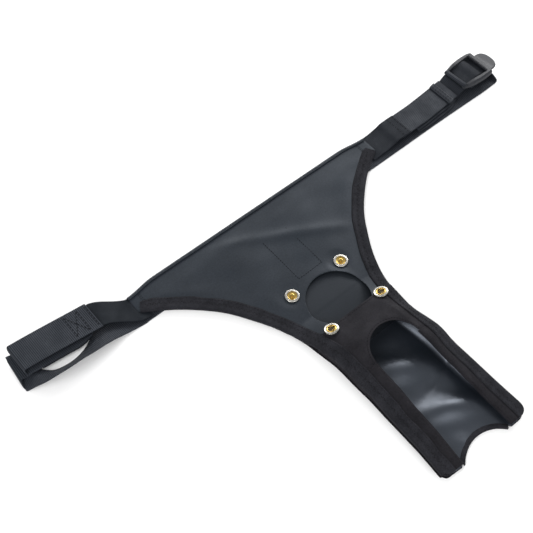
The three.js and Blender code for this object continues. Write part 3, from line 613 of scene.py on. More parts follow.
def both_tones(look, dark, light, tones):
    """Dark and light tone of a look, after the light tone that the user has chosen where there is one."""
    chosen = getattr(tones, look, light)
    return [low * new / high for low, new, high in zip(dark, chosen, light)], tuple(chosen)


def build_looks(tones):
    """Makes every material once."""
    for look, (name, dark, light, rough, pitch, relief, rest) in CLOTHS.items():
        dark, light = both_tones(look, dark, light, tones)
        LOOKS[look] = cloth_material(name, dark, light, rough, pitch, relief, **rest)
        if look == "lining":
            dull_walls(LOOKS[look])
    for table, maker in ((METALS, metal_material), (PLASTICS, plastic_material)):
        for look, (name, dark, light, rough) in table.items():
            dark, light = both_tones(look, dark, light, tones)
            LOOKS[look] = maker(name, dark, light, rough)


# ---- stitches ------------------------------------------------------------------------------------
def stitches(name, lines, length=2.6, gap=0.9, radius=0.22, look="thread", lies=True):
    """Rows of short thread loops lying along lines of millimetre points."""
    ring = np.linspace(0, 2 * math.pi, 6, endpoint=False)
    verts, faces = [], []
    for line in lines:
        points, run = resample(line, 0.4)
        count = max(1, int(run[-1] / (length + gap)))
        for k in range(count):
            middle = (k + 0.5) * run[-1] / count
            ends = [middle - length / 2, middle + length / 2]
            a, b = [np.array([np.interp(s, run, points[:, c]) for c in range(3)]) for s in ends]
            along = (b - a) / (np.linalg.norm(b - a) + 1e-9)
            side = np.cross(along, [0, 0, 1])
            side /= np.linalg.norm(side) + 1e-9
            up = np.cross(side, along)
            base = len(verts)
            for share, size, lift in ((0, 0.35, -0.12), (0.22, 1, 0.06), (0.78, 1, 0.06), (1, 0.35, -0.12)):
                centre = a + (b - a) * share + up * lift
                for angle in ring:
                    verts.append(centre + (side * math.cos(angle) + up * math.sin(angle)) * radius * size)
            faces += grid_faces_open(4, 6, base)
    return make_object(name, np.array(verts), faces, LOOKS[look], None, 80, lies)


def grid_faces_open(rows, cols, start):
    """Faces of a closed tube with both of its ends."""
    faces = grid_faces(rows, cols, start, wrap=True)
    faces.append([start + j for j in range(cols - 1, -1, -1)])
    faces.append([start + (rows - 1) * cols + j for j in range(cols)])
    return faces


def make_tube(name, points, radius, material, place=None, step=0.9, sides=8, lies=False):
    """A round cord or wire along points."""
    path, run = resample(points, step)
    tangent = np.gradient(path, axis=0)
    tangent /= np.linalg.norm(tangent, axis=1, keepdims=True)
    rows, flat = [], []
    for p, t, s in zip(path, tangent, run):
        side = np.cross(t, [0, 0, 1])
        side /= np.linalg.norm(side) + 1e-9
        up = np.cross(side, t)
        angles = np.linspace(0, 2 * math.pi, sides, endpoint=False)
        ring = [p + (side * math.cos(a) + up * math.sin(a)) * radius for a in angles]
        rows.append([place @ Vector(q) for q in ring] if place else ring)
        flat.append([[s, k * 0.4, 0] for k in range(sides)])
    return make_loft(name, rows, material, flat, 50, lies)


# ---- chest panel and lining ----------------------------------------------------------------------
# The coated panel's lower edge, under the pocket bridge.
LAP_Y = HOLE_Y - HOLE_R - 8


def panel_z(x, y):
    """Upper face of the coated panel, from the top edge to below the round opening."""
    chest = PANEL_TOP
    leg = base_top(x, y)
    blend = smooth(-1.5, 1.5, FOLD[1] - y)
    z = chest * (1 - blend) + leg * blend
    inside = half_width(y) - np.abs(x)
    soft = smooth(10, 34, inside) * smooth(6, 26, TOP_Y - y) * smooth(0, 30, y - FOLD[1] + 8)
    soft = soft * smooth(7, 17, np.hypot(np.abs(x) - SNAP_X, y - FOLD[1] - SNAP_Y))
    z = z + soft * (0.9 + 0.75 * ripples(x, y, 3, 95) + 0.28 * ripples(x, y, 5, 38))
    z = z + soft * 0.9 * bump(x * 0.55 + y, -18, 7)
    away = np.hypot(x, y - HOLE_Y) - HOLE_R
    z = z + 0.7 * bump(away, 0, 6) * smooth(-4, 12, y - FOLD[1])
    return z


def panel_rows(y0, y1, step, cols, inset=0.0):
    """A grid over the body between two places down its length."""
    count = int(abs(y1 - y0) / step) + 1
    ys = np.linspace(y0, y1, count)
    share = np.linspace(-1, 1, cols)
    y = np.repeat(ys[:, None], cols, axis=1)
    x = share[None, :] * (half_width(y) - inset)
    return x, y


def build_panel():
    """The coated cloth from the top edge to below the round opening."""
    x, y = panel_rows(TOP_Y, LAP_Y, 1.4, 161)
    top = np.stack([x, y, panel_z(x, y)], axis=-1)
    panel = make_sheet("coated_panel", top, PANEL_T * 0.9, LOOKS["coated"])
    cut_with(panel, round_tool(0, HOLE_Y, HOLE_R, -5, 40))
    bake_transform(panel)
    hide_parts("chest_panel", "leg_panel")


def lining_z(x, y):
    """Upper face of the glossy layer: flat behind the chest, a trough in the pocket."""
    chest = BACKING_TOP - 0.1
    floor = floor_low(y) + 1.5
    half = half_width(y) - 6
    share = np.clip(np.abs(x) / half, 0, 1)
    wall = np.maximum(base_top(half, y) - 1.6 - floor, 0.2)
    trough = floor + wall * smooth(0.66, 1.03, share) ** 1.2
    pocket = smooth(0, 26, APEX_Y + 8 - y)
    hills = (7.6 * bump(x, -12, 30) * bump(y + 0.30 * x, -211, 17)
             + 6.6 * bump(x, -4, 32) * bump(y + 0.34 * x, -266, 13)
             + 1.2 * bump(x, -16, 9) * bump(y, -294, 10))
    crease = -1.3 * bump(y - 0.30 * x, -241, 4.0) * smooth(-26, 4, x)
    fine = 0.28 * ripples(x, y, 11, 40) + 0.03 * ripples(x, y, 12, 9)
    leg = trough + pocket * (hills + crease + 0.7 + fine) * smooth(0, 0.35, 1.05 - share)
    blend = smooth(-1.5, 1.5, FOLD[1] - y)
    z = chest * (1 - blend) + leg * blend
    away = np.hypot(x, y - HOLE_Y)
    ridge = 0.8 * bump(y + 0.2 * x, FOLD[1] + 4, 12) * smooth(44, 20, away)
    return z - 0.25 * blend + ridge * 0.35


def build_lining():
    """The layer behind the panel and in the pocket: dull above the bridge, glossy below it."""
    ys = np.linspace(TOP_Y - 1, LEG_END_Y + 0.4, 230)
    cols = 121
    y = np.repeat(ys[:, None], cols, axis=1)
    inset = 1.0 + 4.6 * smooth(0, 8, FOLD[1] - y)
    x = np.linspace(-1, 1, cols)[None, :] * (half_width(y) - inset)
    top = np.stack([x, y, lining_z(x, y)], axis=-1)
    flat = np.stack([x, y, 0 * x], axis=-1)
    lining = make_sheet("glossy_lining", top, LINER_T * 0.8, LOOKS["lining"], flat=flat)
    lining.data.materials.append(LOOKS["backing"])
    for face in lining.data.polygons:
        face.material_index = int(face.center.y / MM > (BRIDGE_LOW[1] + BRIDGE_HIGH[1]) / 2)
    cut_with(lining, round_tool(0, LEG_END_Y - NOTCH_R + NOTCH_DEPTH, NOTCH_R, -10, 40))
    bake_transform(lining)
    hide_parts("chest_backing", "pocket_lining")


def build_leg_back():
    """The cloth that the leg lies on."""
    ys = np.linspace(FOLD[1] - 0.4, LEG_END_Y, 140)
    cols = 61
    y = np.repeat(ys[:, None], cols, axis=1)
    x = np.linspace(-1, 1, cols)[None, :] * (half_width(y) + 0.2)
    z = floor_low(y) + 0.6 + 0.05 * ripples(x, y, 21, 60)
    back = make_sheet("leg_back_cloth", np.stack([x, y, z], axis=-1), 0.6, LOOKS["pocket"])
    cut_with(back, round_tool(0, LEG_END_Y - NOTCH_R + NOTCH_DEPTH, NOTCH_R, -10, 40))
    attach(back, "leg")
    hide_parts("leg_back")


def build_rear_patch():
    """The patch behind the panel, which shows as a stitch line on its front."""
    low, high = node_box("rear_patch")
    x, y = np.meshgrid(np.linspace(low[0], high[0], 30), np.linspace(high[1], low[1], 56))
    z = high[2] + 0 * x + 0.05 * ripples(x, y, 31, 20)
    patch = make_sheet("rear_patch_cloth", np.stack([x, y, z], axis=-1), high[2] - low[2], LOOKS["coated"])
    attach(patch, "chest")
    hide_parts("rear_patch")


# ---- pocket front --------------------------------------------------------------------------------
# How far the pocket's front stands off the leg's base layer.
FACE_STEP = 1.3


def front_z(x, y):
    """Upper face of the pocket's front."""
    z = base_top(x, y) + FACE_STEP
    inside = half_width(y) - np.abs(x)
    clear = smooth(7, 13, np.hypot(np.abs(x) - SNAP_X, y - FOLD[1] + SNAP_Y * 0.94))
    waves = 0.35 + 0.45 * ripples(x, y, 41, 42) + 0.15 * ripples(x, y, 42, 15)
    return z + clear * smooth(8, 22, inside) * waves


def build_pocket_front():
    """The bridge over the top of the pocket and a strip down each side of its window."""
    seam = BRIDGE_LOW[1]
    x, y = panel_rows(BRIDGE_HIGH[1], seam, 1.0, 111, inset=0.2)
    top = np.stack([x, y, front_z(x, y)], axis=-1)
    bridge = make_sheet("pocket_bridge_cloth", top, PANEL_T, LOOKS["pocket"])
    arch_y = APEX_Y - WINDOW_HALF
    cut_with(bridge, round_tool(0, arch_y, WINDOW_HALF, -5, 60))
    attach(bridge, "leg")
    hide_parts("pocket_bridge")
    for side, word in ((-1, "left"), (1, "right")):
        ys = np.linspace(STRIP_HIGH[1], LEG_END_Y, 118)
        cols = 26
        y = np.repeat(ys[:, None], cols, axis=1)
        share = np.linspace(0, 1, cols)[None, :]
        inner = window_half(y) + 0.5 * ripples(0 * y + side * 50, y, 45 + side, 40) - 0.4
        x = side * (inner + (half_width(y) - 0.2 - inner) * share)
        into = (half_width(y) - 0.2 - inner) * share
        roll = -1.3 * bump(into, 0, 1.6) + 0.9 * bump(into, 6.5, 4.2) - 0.8 * bump(into, 14.2, 1.8)
        top = np.stack([x, y, front_z(x, y) + roll], axis=-1)
        strip = make_sheet(f"pocket_strip_cloth_{word}", top, PANEL_T * 1.1, LOOKS["pocket"])
        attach(strip, "leg")
        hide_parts(f"pocket_strip_{word}")


def build_side_walls():
    """The upright cloth between the leg's back and front."""
    for side, word in ((-1, "left"), (1, "right")):
        low, high = node_box(f"side_wall_{word}")
        ys = np.linspace(high[1], low[1], 110)
        sections, flat = [], []
        for y in ys:
            edge = float(half_width(y))
            z0 = float(floor_low(y)) + 0.75
            z1 = float(base_top(edge, y)) - 2.2
            rise = np.linspace(0, 1, 9)
            out = edge - 1.5 + 0.9 * np.sin(rise * math.pi) + 0.25 * ripples(rise * 9, y, 51 + side, 30)
            outer = np.column_stack([side * out, np.full(9, y), z0 + (z1 - z0) * rise])
            inner = outer[::-1].copy()
            inner[:, 0] -= side * 0.6
            sections.append(np.vstack([outer, inner]))
            around = np.concatenate([rise, rise[::-1]]) * 10
            flat.append(np.column_stack([np.full(18, y), around, np.zeros(18)]))
        wall = make_loft(f"side_wall_cloth_{word}", sections, LOOKS["pocket"], flat, 50, True)
        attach(wall, "leg")
        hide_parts(f"side_wall_{word}")


# ---- edge binding --------------------------------------------------------------------------------
def tape_section(edge, out, z_inner, z_outer, low, width, wave, puff=0.0):
    """A folded tape round an edge: raised inner edge, soft hollow, rolled outer edge and a short return."""
    t = 0.75
    above = GAP * 0.4
    us = [-width + wave, -width + wave - 0.1, -width + wave + 0.5, -width + wave + 1.4, -width * 0.72,
          -width * 0.5, -width * 0.28, -1.6, -0.2, 0.7, 1.0]
    crown = [0.1, 0.9, 1.75, 2.0 + puff, 1.15 + puff * 0.5, 1.3 - puff, 1.5 + puff, 1.75, 1.4, 0.5, -0.4]
    upper = []
    for u, c in zip(us, crown):
        share = min(max((u + width) / width, 0), 1)
        upper.append((u, z_inner + (z_outer - z_inner) * share + above + t * c))
    bottom = [(0.95, low + 0.9), (0.7, low + 0.3), (0.0, low), (-2.2, low), (-4.0, low + 0.1),
              (-4.0, low + 0.6), (0.1, low + 0.75)]
    inner = [(0.25, low + 1.0), (0.25, z_outer - 0.2), (0.1, z_outer + 0.08),
             (-width * 0.5, (z_inner + z_outer) / 2 + 0.08), (-width + wave + 0.4, z_inner)]
    loop = upper + bottom + inner
    return [[edge[0] + out[0] * u, edge[1] + out[1] * u, z] for u, z in loop], [u for u, z in loop]


def binding_path(side):
    """Edge points, outward directions and run along one side, from the wing tip to the leg's end."""
    curve = SIDE[2:]
    ys = np.arange(LEG_JOIN_Y - 1.5, LEG_END_Y, -1.5)
    leg = np.column_stack([half_width(ys), ys])
    end = np.array([[float(half_width(LEG_END_Y)), LEG_END_Y]])
    points, run = resample(np.vstack([curve[::4], leg, end]), 1.1)
    tangent = np.gradient(points, axis=0)
    tangent /= np.linalg.norm(tangent, axis=1, keepdims=True)
    out = np.column_stack([-tangent[:, 1], tangent[:, 0]])
    points[:, 0] *= side
    out[:, 0] *= side
    return points, out, run


def binding_surface(x, y, out, u):
    """Height that the tape lies at, on the chest and on the leg."""
    px, py = x + out[0] * u, y + out[1] * u
    chest = PANEL_TOP
    seam = float(smooth(-3, 3, BRIDGE_HIGH[1] - y))
    leg = float(base_top(px, py)) * (1 - seam) + float(base_top(px, py) + FACE_STEP) * seam
    blend = float(smooth(-1.5, 1.5, FOLD[1] - y))
    return chest * (1 - blend) + leg * blend


def build_binding():
    """The tape down each side, a near-black cord of painted shade along its inner edge, and its two rows of
    stitches.
    """
    for side, word in ((-1, "left"), (1, "right")):
        points, out, run = binding_path(side)
        wobble = 0.55 * ripples(run, 0 * run, 61 + side, 26)
        lift = 0.18 * ripples(run, 0 * run, 63 + side, 17)
        puff = 0.32 * np.sin(run * 2 * math.pi / 4.4) * (0.7 + 0.3 * ripples(run, 0 * run, 65 + side, 30))
        sections, flat = [], []
        for (x, y), o, s, w, h, f in zip(points, out, run, wobble, lift, puff):
            inner = binding_surface(x, y, o, -BIND_W) + h
            outer = binding_surface(x, y, o, 0)
            low_chest = TAPE_LOW[2]
            low_leg = outer - PANEL_T - 1.2
            blend = float(smooth(-1.5, 1.5, FOLD[1] - y))
            low = low_chest * (1 - blend) + low_leg * blend
            rows, us = tape_section((x, y), o, inner, outer, low, BIND_W, w, f)
            sections.append(rows)
            flat.append([[s, u, 0] for u in us])
        tape = make_loft(f"edge_binding_{word}", sections, LOOKS["tape"], flat, 60, True)
        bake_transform(tape)
        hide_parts(f"wing_binding_{word}", f"leg_binding_{word}")
        # A near-black cord in the thread's tone along the tape's inner edge: painted shade of the groove where the
        # tape meets the panel.
        seam = []
        for (x, y), o, w, h in zip(points[4:-2], out[4:-2], wobble[4:-2], lift[4:-2]):
            u = -BIND_W + w - 0.25
            seam.append([x + o[0] * u, y + o[1] * u, binding_surface(x, y, o, -BIND_W) + h + 0.25])
        groove_shade = make_tube(f"binding_seam_{word}", seam, 0.42, LOOKS["thread"], lies=True)
        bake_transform(groove_shade)
        for offset, label in ((-BIND_W + 1.5, "inner"), (-BIND_W * 0.5, "middle")):
            line = []
            share = (offset + BIND_W) / BIND_W
            above = 1.45 if label == "inner" else 1.1
            for (x, y), o, w, h in zip(points[4:-3], out[4:-3], wobble[4:-3], lift[4:-3]):
                z_in = binding_surface(x, y, o, -BIND_W) + h
                z_out = binding_surface(x, y, o, 0)
                u = offset + w * 0.5
                line.append([x + o[0] * u, y + o[1] * u, z_in + (z_out - z_in) * share + above])
            line = np.array(line)
            if label == "middle":
                zig = np.where(np.arange(len(line)) % 4 < 2, -1.3, 1.3)
                line[:, :2] += out[4:-3] * zig[:, None]
            row = stitches(f"binding_stitch_{label}_{word}", [line], 2.2, 0.9, 0.26)
            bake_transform(row)


def build_top_binding():
    """The narrow tape along the top edge."""
    xs = np.arange(-WING_SPAN, WING_SPAN + 0.1, 1.2)
    sections, flat = [], []
    for x in xs:
        w = 0.25 * float(ripples(np.array(x), np.array(0.0), 71, 30))
        rows, us = tape_section((x, TOP_Y - 0.9), (0, 1), PANEL_TOP, PANEL_TOP - 0.5, TOP_TAPE_LOW[2], 3.4, w)
        sections.append(rows)
        flat.append([[x, u, 0] for u in us])
    tape = make_loft("top_edge_binding", sections, LOOKS["coated"], flat, 60, True)
    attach(tape, "chest")
    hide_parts("top_binding")


def build_notch_binding():
    """The tape round the notch in the leg's end."""
    centre = LEG_END_Y - NOTCH_R + NOTCH_DEPTH
    reach = math.acos((NOTCH_R - NOTCH_DEPTH) / NOTCH_R) - math.radians(2)
    tape_ring = [(-1.2, 0.15), (-1.45, 1.2), (-1.3, 2.2), (-0.6, 2.75), (1.0, 2.8), (2.9, 2.6), (3.1, 2.3),
                 (3.0, 1.9), (0.3, 2.0), (-0.3, 1.6), (-0.4, 0.1)]
    sections, flat = [], []
    for angle in np.linspace(-reach, reach, 90):
        lift = float(lining_z(np.array(math.sin(angle) * NOTCH_R), np.array(LEG_END_Y))) - 1.5
        lift = max(lift, 0) * 0.6
        across, along = math.sin(angle), math.cos(angle)
        sections.append([[across * (NOTCH_R + u), centre + along * (NOTCH_R + u), z + lift * (z > 1)]
                         for u, z in tape_ring])
        flat.append([[angle * NOTCH_R, u, 0] for u, z in tape_ring])
    tape = make_loft("notch_edge_binding", sections, LOOKS["tape"], flat, 60, True)
    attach(tape, "leg")
    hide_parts("notch_binding")


# ---- webbing -------------------------------------------------------------------------------------
def web_section(centre, wide, normal, width, thickness, height):
    """Flat webbing with rounded selvedges, thickened by a rib height."""
    us = np.array([-1, -0.985, -0.95, -0.9, -0.6, -0.3, 0, 0.3, 0.6, 0.9, 0.95, 0.985, 1])
    hs = np.array([0.25, 0.7, 0.95, 1, 1, 1, 1, 1, 1, 1, 0.95, 0.7, 0.25]) * (thickness / 2)
    rib = height * (1 - 0.7 * (np.abs(us) > 0.93))
    upper = centre + np.outer(us * width / 2, wide) + np.outer(hs + rib, normal)
    lower = centre + np.outer(us[::-1] * width / 2, wide) - np.outer(hs[::-1] + rib[::-1], normal)
    return np.vstack([upper, lower]), np.concatenate([us, us[::-1]]) * width / 2


def make_webbing(name, centres, wides, material, width=None, pitch=1.8, rib=0.20, thickness=None):
    """Webbing along a line of centres with a width direction at each; ribs cross it."""
    width = width or WEB_W
    thickness = thickness or WEB_T
    path, run = resample(np.hstack([centres, wides]), pitch / 5)
    places, across = path[:, :3], path[:, 3:]
    across /= np.linalg.norm(across, axis=1, keepdims=True)
    tangent = np.gradient(places, axis=0)
    tangent /= np.linalg.norm(tangent, axis=1, keepdims=True)
    normal = np.cross(across, tangent)
    normal /= np.linalg.norm(normal, axis=1, keepdims=True)
    height = rib * (np.abs(np.sin(math.pi * run / pitch)) - 0.75)
    sections, flat = [], []
    for c, w, n, h, s in zip(places, across, normal, height, run):
        rows, us = web_section(c, w, n, width, thickness * 0.92, h)
        sections.append(rows)
        flat.append(np.column_stack([np.full(len(us), s), us, np.zeros(len(us))]))
    return make_loft(name, sections, material, flat, sharp=70)


def turn_points(x, z0, z1, direction, count=6):
    """Points of a U-turn in the XZ plane."""
    r = (z1 - z0) / 2
    angles = [math.pi * i / count for i in range(1, count)]
    return [[x + direction * abs(r) * math.sin(a), z0 + r - r * math.cos(a)] for a in angles] + [[x, z1]]


def line_points(x0, z0, x1, z1, step=12):
    """Points of a straight run in the XZ plane, without the first."""
    count = max(1, int(abs(x1 - x0) / step))
    return [[x0 + (x1 - x0) * i / count, z0 + (z1 - z0) * i / count] for i in range(1, count + 1)]


def in_row(profile, shift, tilt=None):
    """Lays an XZ path out in the row frame with a sideways shift and an optional fan of its width."""
    profile = np.asarray(profile, float)
    x, z = profile[:, 0], profile[:, 1]
    y = np.array([shift(a, b) for a, b in zip(x, z)])
    centres = np.column_stack([x, y, z])
    lean = np.zeros(len(x)) if tilt is None else np.array([tilt(a, b) for a, b in zip(x, z)])
    wides = np.column_stack([np.sin(lean), np.cos(lean), 0 * lean])
    return centres, wides


def strap_sheet(name, profile, shift, look, tilt=None, **extra):
    """Webbing along an XZ path in the row frame."""
    centres, wides = in_row(profile, shift, tilt)
    return make_webbing(name, centres, wides, LOOKS[look], **extra)


def right_shift(x, z):
    """How far the right-hand bundle lies off the line; its lower layers lie back towards the line."""
    out = 4.0 + 2.4 * float(smooth(STRAP_START + 50, BAR[0] - 20, x))
    out += 3.4 * float(smooth(BAR[0] - 30, BAR[0] - 8, x))
    back = float(smooth(STRAP_START + 45, STRAP_START + 60, x) * smooth(BAR[0] - 9, BAR[0] - 21, x))
    return out - 0.75 * max(0.0, 8.0 - z) * back


STRAP_START = RIGHT_HINGE[0] + 0.3
WEB_MID = WEB_T / 2


def build_right_straps():
    """The strap over the right wing tip, the folded bundle, and the hem with its stitches."""
    high = node_box("right_wing_strap")[1]
    joint, lift = high[0], high[2] - WEB_T / 2
    profile = [[STRAP_START - 10, PANEL_LOW[2] - 1.4], [STRAP_START, PANEL_LOW[2]],
               [STRAP_START + 8, PANEL_LOW[2] + 0.7], [STRAP_START + 17.7, lift - 3],
               [joint - 18, lift - 0.3], [joint - 9, lift + 0.15], [joint, lift]]
    wing = strap_sheet("right_wing_webbing", profile, right_shift, "fine_web", pitch=1.7, rib=0.10)
    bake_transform(wing)
    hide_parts("right_wing_strap")

    hem_low, hem_high = node_box("strap_hem")
    top = hem_low[2] - 0.3 - WEB_T / 2
    layer = WEB_T + 1
    lap = joint - 11
    inner, outer = joint + 13, joint + 74
    profile = [[lap, top], [joint + 6, top + 0.1], [joint + 30, top + 0.25], [outer, top]]
    profile += turn_points(outer, top, top - layer, 1)
    profile += line_points(outer, top - layer, inner, top - layer)
    profile += turn_points(inner, top - layer, top - 2 * layer, -1)
    profile += line_points(inner, top - 2 * layer, BAR[0] - 12, top - 2 * layer)
    wrap = 1.7 + WEB_T / 2 + 0.9
    for degrees in range(-120, 151, 18):
        a = math.radians(degrees)
        profile.append([BAR[0] + wrap * math.cos(a), BAR[2] + wrap * math.sin(a)])

    def fan(x, z):
        return 0.010 * (top - z)

    def wavy_shift(x, z):
        return right_shift(x, z) + 0.4 * math.sin(x / 17 + z)

    fold = strap_sheet("right_folded_webbing", profile, wavy_shift, "smooth_web", fan, pitch=1.3,
                       rib=0.05)
    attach(fold, "right_strap")
    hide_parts("right_strap")

    ends = (hem_low[0] + 1.2, hem_high[0] - 1.6)
    base = hem_low[2]
    profile = [[ends[0] - 0.8, base + 0.35], [ends[0] + 0.6, base + 0.85], [sum(ends) / 2, base + 1.0],
               [ends[1] - 0.6, base + 0.85], [ends[1] + 0.6, base + 0.4]]
    hem = strap_sheet("strap_hem_webbing", profile, right_shift, "smooth_web", width=WEB_W + 2, pitch=1.3, rib=0.05)
    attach(hem, "right_strap")
    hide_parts("strap_hem")
    half = WEB_W / 2 - 1
    for name, places, z in (("hem_stitch", (ends[0] + 1.2, ends[1] - 1.2), base + 1.75),
                            ("right_joint_stitch", (joint - 2, joint - 9),
                             lift + WEB_T / 2 + 0.12)):
        rows = [line_across(x, right_shift(x, 9) - half, right_shift(x, 9) + half, z) for x in places]
        ride_stitches(name, rows, "right_strap", lies=False)


def line_across(x, y0, y1, z):
    """Points of a line across the webbing."""
    return [[x, y0 + (y1 - y0) * t, z] for t in (0, 0.25, 0.5, 0.75, 1)]


def ride_stitches(name, rows, body, **extra):
    """Rows of stitches that move with one body."""
    row = stitches(name, rows, **extra)
    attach(row, body)


# Left-hand bundle: its seam, the near end of its top layer, its two folds, its cut end and its lowest layer.
L_JOINT = -STRAP_START - 57.7
L_NEAR = L_JOINT + 22
L_INNER = L_JOINT + 8
L_OUTER = L_INNER - 67
L_CUT = L_OUTER + 13
L_LOW_Z = WEB_MID + WEB_T + 1 + 1.4
L_SIDE = 21.0


def left_shift(x, z=20.0):
    """How far the left-hand bundle lies off the line; its lower layers stand out on the near side."""
    near = L_SIDE - 1.8 - 4.5 * float(smooth(12.0, 8.0, z) * smooth(L_JOINT + 10, L_JOINT - 8, x))
    if x > L_NEAR:
        return 2 + (near - 2) * float(smooth(STRAP_START - 6, -L_NEAR, -x))
    return near + (L_NEAR - x) * 0.10


def build_left_straps():
    """The strap over the left wing tip and the folded bundle with its box of stitches."""
    lift = node_box("left_wing_strap")[1][2] - WEB_T / 2
    start_z = PANEL_LOW[2]
    profile = [[-STRAP_START + 10, start_z - 1.4]]
    for share in np.linspace(0, 1, 9):
        x = -STRAP_START + (L_NEAR + STRAP_START) * share
        profile.append([x, start_z + (lift - start_z) * float(smooth(0, 1, share))])
    profile.append([L_JOINT, lift])
    wing = strap_sheet("left_wing_webbing", profile, left_shift, "dark_web", pitch=1.3, rib=0.03)
    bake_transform(wing)
    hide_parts("left_wing_strap")

    top = lift + WEB_T + 0.3
    mid_z = L_LOW_Z + WEB_T + 1
    profile = [[L_NEAR, top], [L_JOINT, top + 0.15], [L_JOINT - 25, top + 0.4], [L_OUTER + 12, top + 0.2],
               [L_OUTER, top]]
    profile += turn_points(L_OUTER, top, mid_z, -1, 8)
    profile += line_points(L_OUTER, mid_z, L_INNER, mid_z)
    profile += turn_points(L_INNER, mid_z, L_LOW_Z, 1)
    profile += line_points(L_INNER, L_LOW_Z, L_CUT, L_LOW_Z)

    def fan(x, z):
        return -0.030 * (top - z) * float(smooth(-300, -230, x)) * 0.4

    fold = strap_sheet("left_folded_webbing", profile, left_shift, "ribbed", fan, width=WEB_W + 2)
    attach(fold, "left_strap")
    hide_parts("left_strap")
    half = WEB_W / 2 - 1.5
    z = top + WEB_T / 2 + 0.22
    rows = [line_across(x, left_shift(x) - half, left_shift(x) + half, z) for x in
            (L_NEAR - 2, L_NEAR - 11, L_JOINT - 3)]
    for a, b in ((-1, 1), (1, -1)):
        x0, x1 = L_NEAR - 11.5, L_JOINT - 2.5
        rows.append([[x0, left_shift(x0) + a * (half - 1), z], [x1, left_shift(x1) + b * (half - 1), z]])
    ride_stitches("left_box_stitch", rows, "left_strap", radius=0.3, lies=False)


# The back strap past the left wing tip: distance, place to the side, degrees that it rolls onto its edge.
L_ROLL = [(0, 0, 0), (16.7, 0.8, 4), (34, -0.6, 17), (46, -4.1, 30), (58, -9.2, 45), (71, -11.6, 54),
          (85, -11.7, 55), (98, -9.2, 50), (109, -1.2, 31), (117, 7.2, 12), (124, 12, 0)]
END_SLANT = math.radians(9)


def build_back_strap():
    """The strap behind the panel with both of its loops, in one piece."""
    lock_low = node_box("ladder_lock")[0][2]
    back_right = STRAP_HIGH[0]
    loop_z = lock_low - WEB_T
    centres, wides = [], []
    for x, z in turn_profile_right(back_right, loop_z):
        slant = math.radians(15) * float(smooth(back_right - 8, back_right + 14, x))
        centres.append([x - 2.5, -1.6 + 9 * float(smooth(WEB_MID + 1, loop_z, z)), z])
        wides.append([math.sin(slant), math.cos(slant), 0])
    centres = centres[::-1]
    wides = wides[::-1]
    for x in np.arange(back_right - 12, -STRAP_START + 4, -16):
        centres.append([x, 0.35 * math.sin(x / 31) - 1.6 * float(smooth(60, 130, x)), WEB_MID])
        wides.append([0, 1, 0])
    for past, side, roll in L_ROLL:
        a = math.radians(roll)
        slant = END_SLANT * float(smooth(80, 122, past))
        centres.append([-STRAP_START - past, side, WEB_MID + math.sin(a) * WEB_W / 2])
        wides.append([math.sin(slant), math.cos(a) * math.cos(slant), -math.sin(a)])
    end_x = -STRAP_START - L_ROLL[-1][0]
    r = (L_LOW_Z - WEB_MID) / 2
    for i in range(1, 9):
        a = math.pi * i / 8
        side = L_ROLL[-1][1] + (left_shift(end_x, 0) - L_ROLL[-1][1]) * i / 8
        slant = END_SLANT * (1 - i / 10)
        centres.append([end_x - r * math.sin(a), side, WEB_MID + r - r * math.cos(a)])
        wides.append([math.sin(slant), math.cos(slant), 0])
    for x in ((end_x + L_CUT) / 2, L_CUT - 0.3):
        centres.append([x, left_shift(L_CUT, 0), L_LOW_Z])
        wides.append([0, 1, 0])
    strap = make_webbing("back_webbing", centres, wides, LOOKS["ribbed"])
    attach(strap, "chest")
    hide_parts("back_strap", "left_loop", "right_loop")


def turn_profile_right(back_right, loop_z):
    """XZ points of the back strap's turn under the buckle."""
    end = back_right + 15
    points = [[back_right - 2, WEB_MID], [back_right + 7, WEB_MID], [end, WEB_MID]]
    points += turn_points(end, WEB_MID, loop_z, 1, 8)
    points += [[end - 12, loop_z + 0.1], [back_right - 10, loop_z], [back_right - 20, loop_z]]
    return points


# ---- buckle --------------------------------------------------------------------------------------
def rounded(obj, radius, segments, limit):
    """Rounds an object's sharp edges."""
    modifier = obj.modifiers.new("round", "BEVEL")
    modifier.width = radius * MM
    modifier.segments = segments
    modifier.limit_method = "ANGLE"
    modifier.angle_limit = math.radians(limit)
    modifier.harden_normals = False


# Buckle: how far it lies off the line, its round bars, and its bar's place past the fixed bar.
BUCKLE_SHIFT = 10.4
BAR_R = 1.7
MID_BAR = 22


def prism_y(name, outline, y0, y1, material):
    """A body with an XZ outline between two Y places."""
    rows = [[[x, y + BUCKLE_SHIFT, z] for x, z in outline] for y in (y0, y1)]
    return make_loft(name, rows, material, sharp=25)


def round_bar(name, x, z, radius, half, material):
    """A round bar across the buckle."""
    angles = np.linspace(0, 2 * math.pi, 28, endpoint=False)
    rows = [[[x + radius * math.cos(a), y + BUCKLE_SHIFT, z + radius * math.sin(a)] for a in angles]
            for y in (-half, half)]
    return make_loft(name, rows, material)


def join(name, pieces):
    """Adds the pieces into one object, melting them into one closed body."""
    base = pieces[0]
    for piece in pieces[1:]:
        modifier = base.modifiers.new("add", "BOOLEAN")
        modifier.operation = "UNION"
        modifier.solver = "EXACT"
        modifier.object = piece
    graph = bpy.context.evaluated_depsgraph_get()
    mesh = bpy.data.meshes.new_from_object(base.evaluated_get(graph))
    base.modifiers.clear()
    base.data = mesh
    base.name = name
    for piece in pieces[1:]:
        bpy.data.objects.remove(piece)
    return base


def lock_half(share):
    """Half the window's width and half the buckle's width, at a share of its length from the fixed bar."""
    window = 12.7 + 2.5 * share
    rail = 2.4 + 2.7 * math.sin(math.pi * min(max(share, 0), 1)) ** 0.8 + 0.9 * share
    return window, window + rail


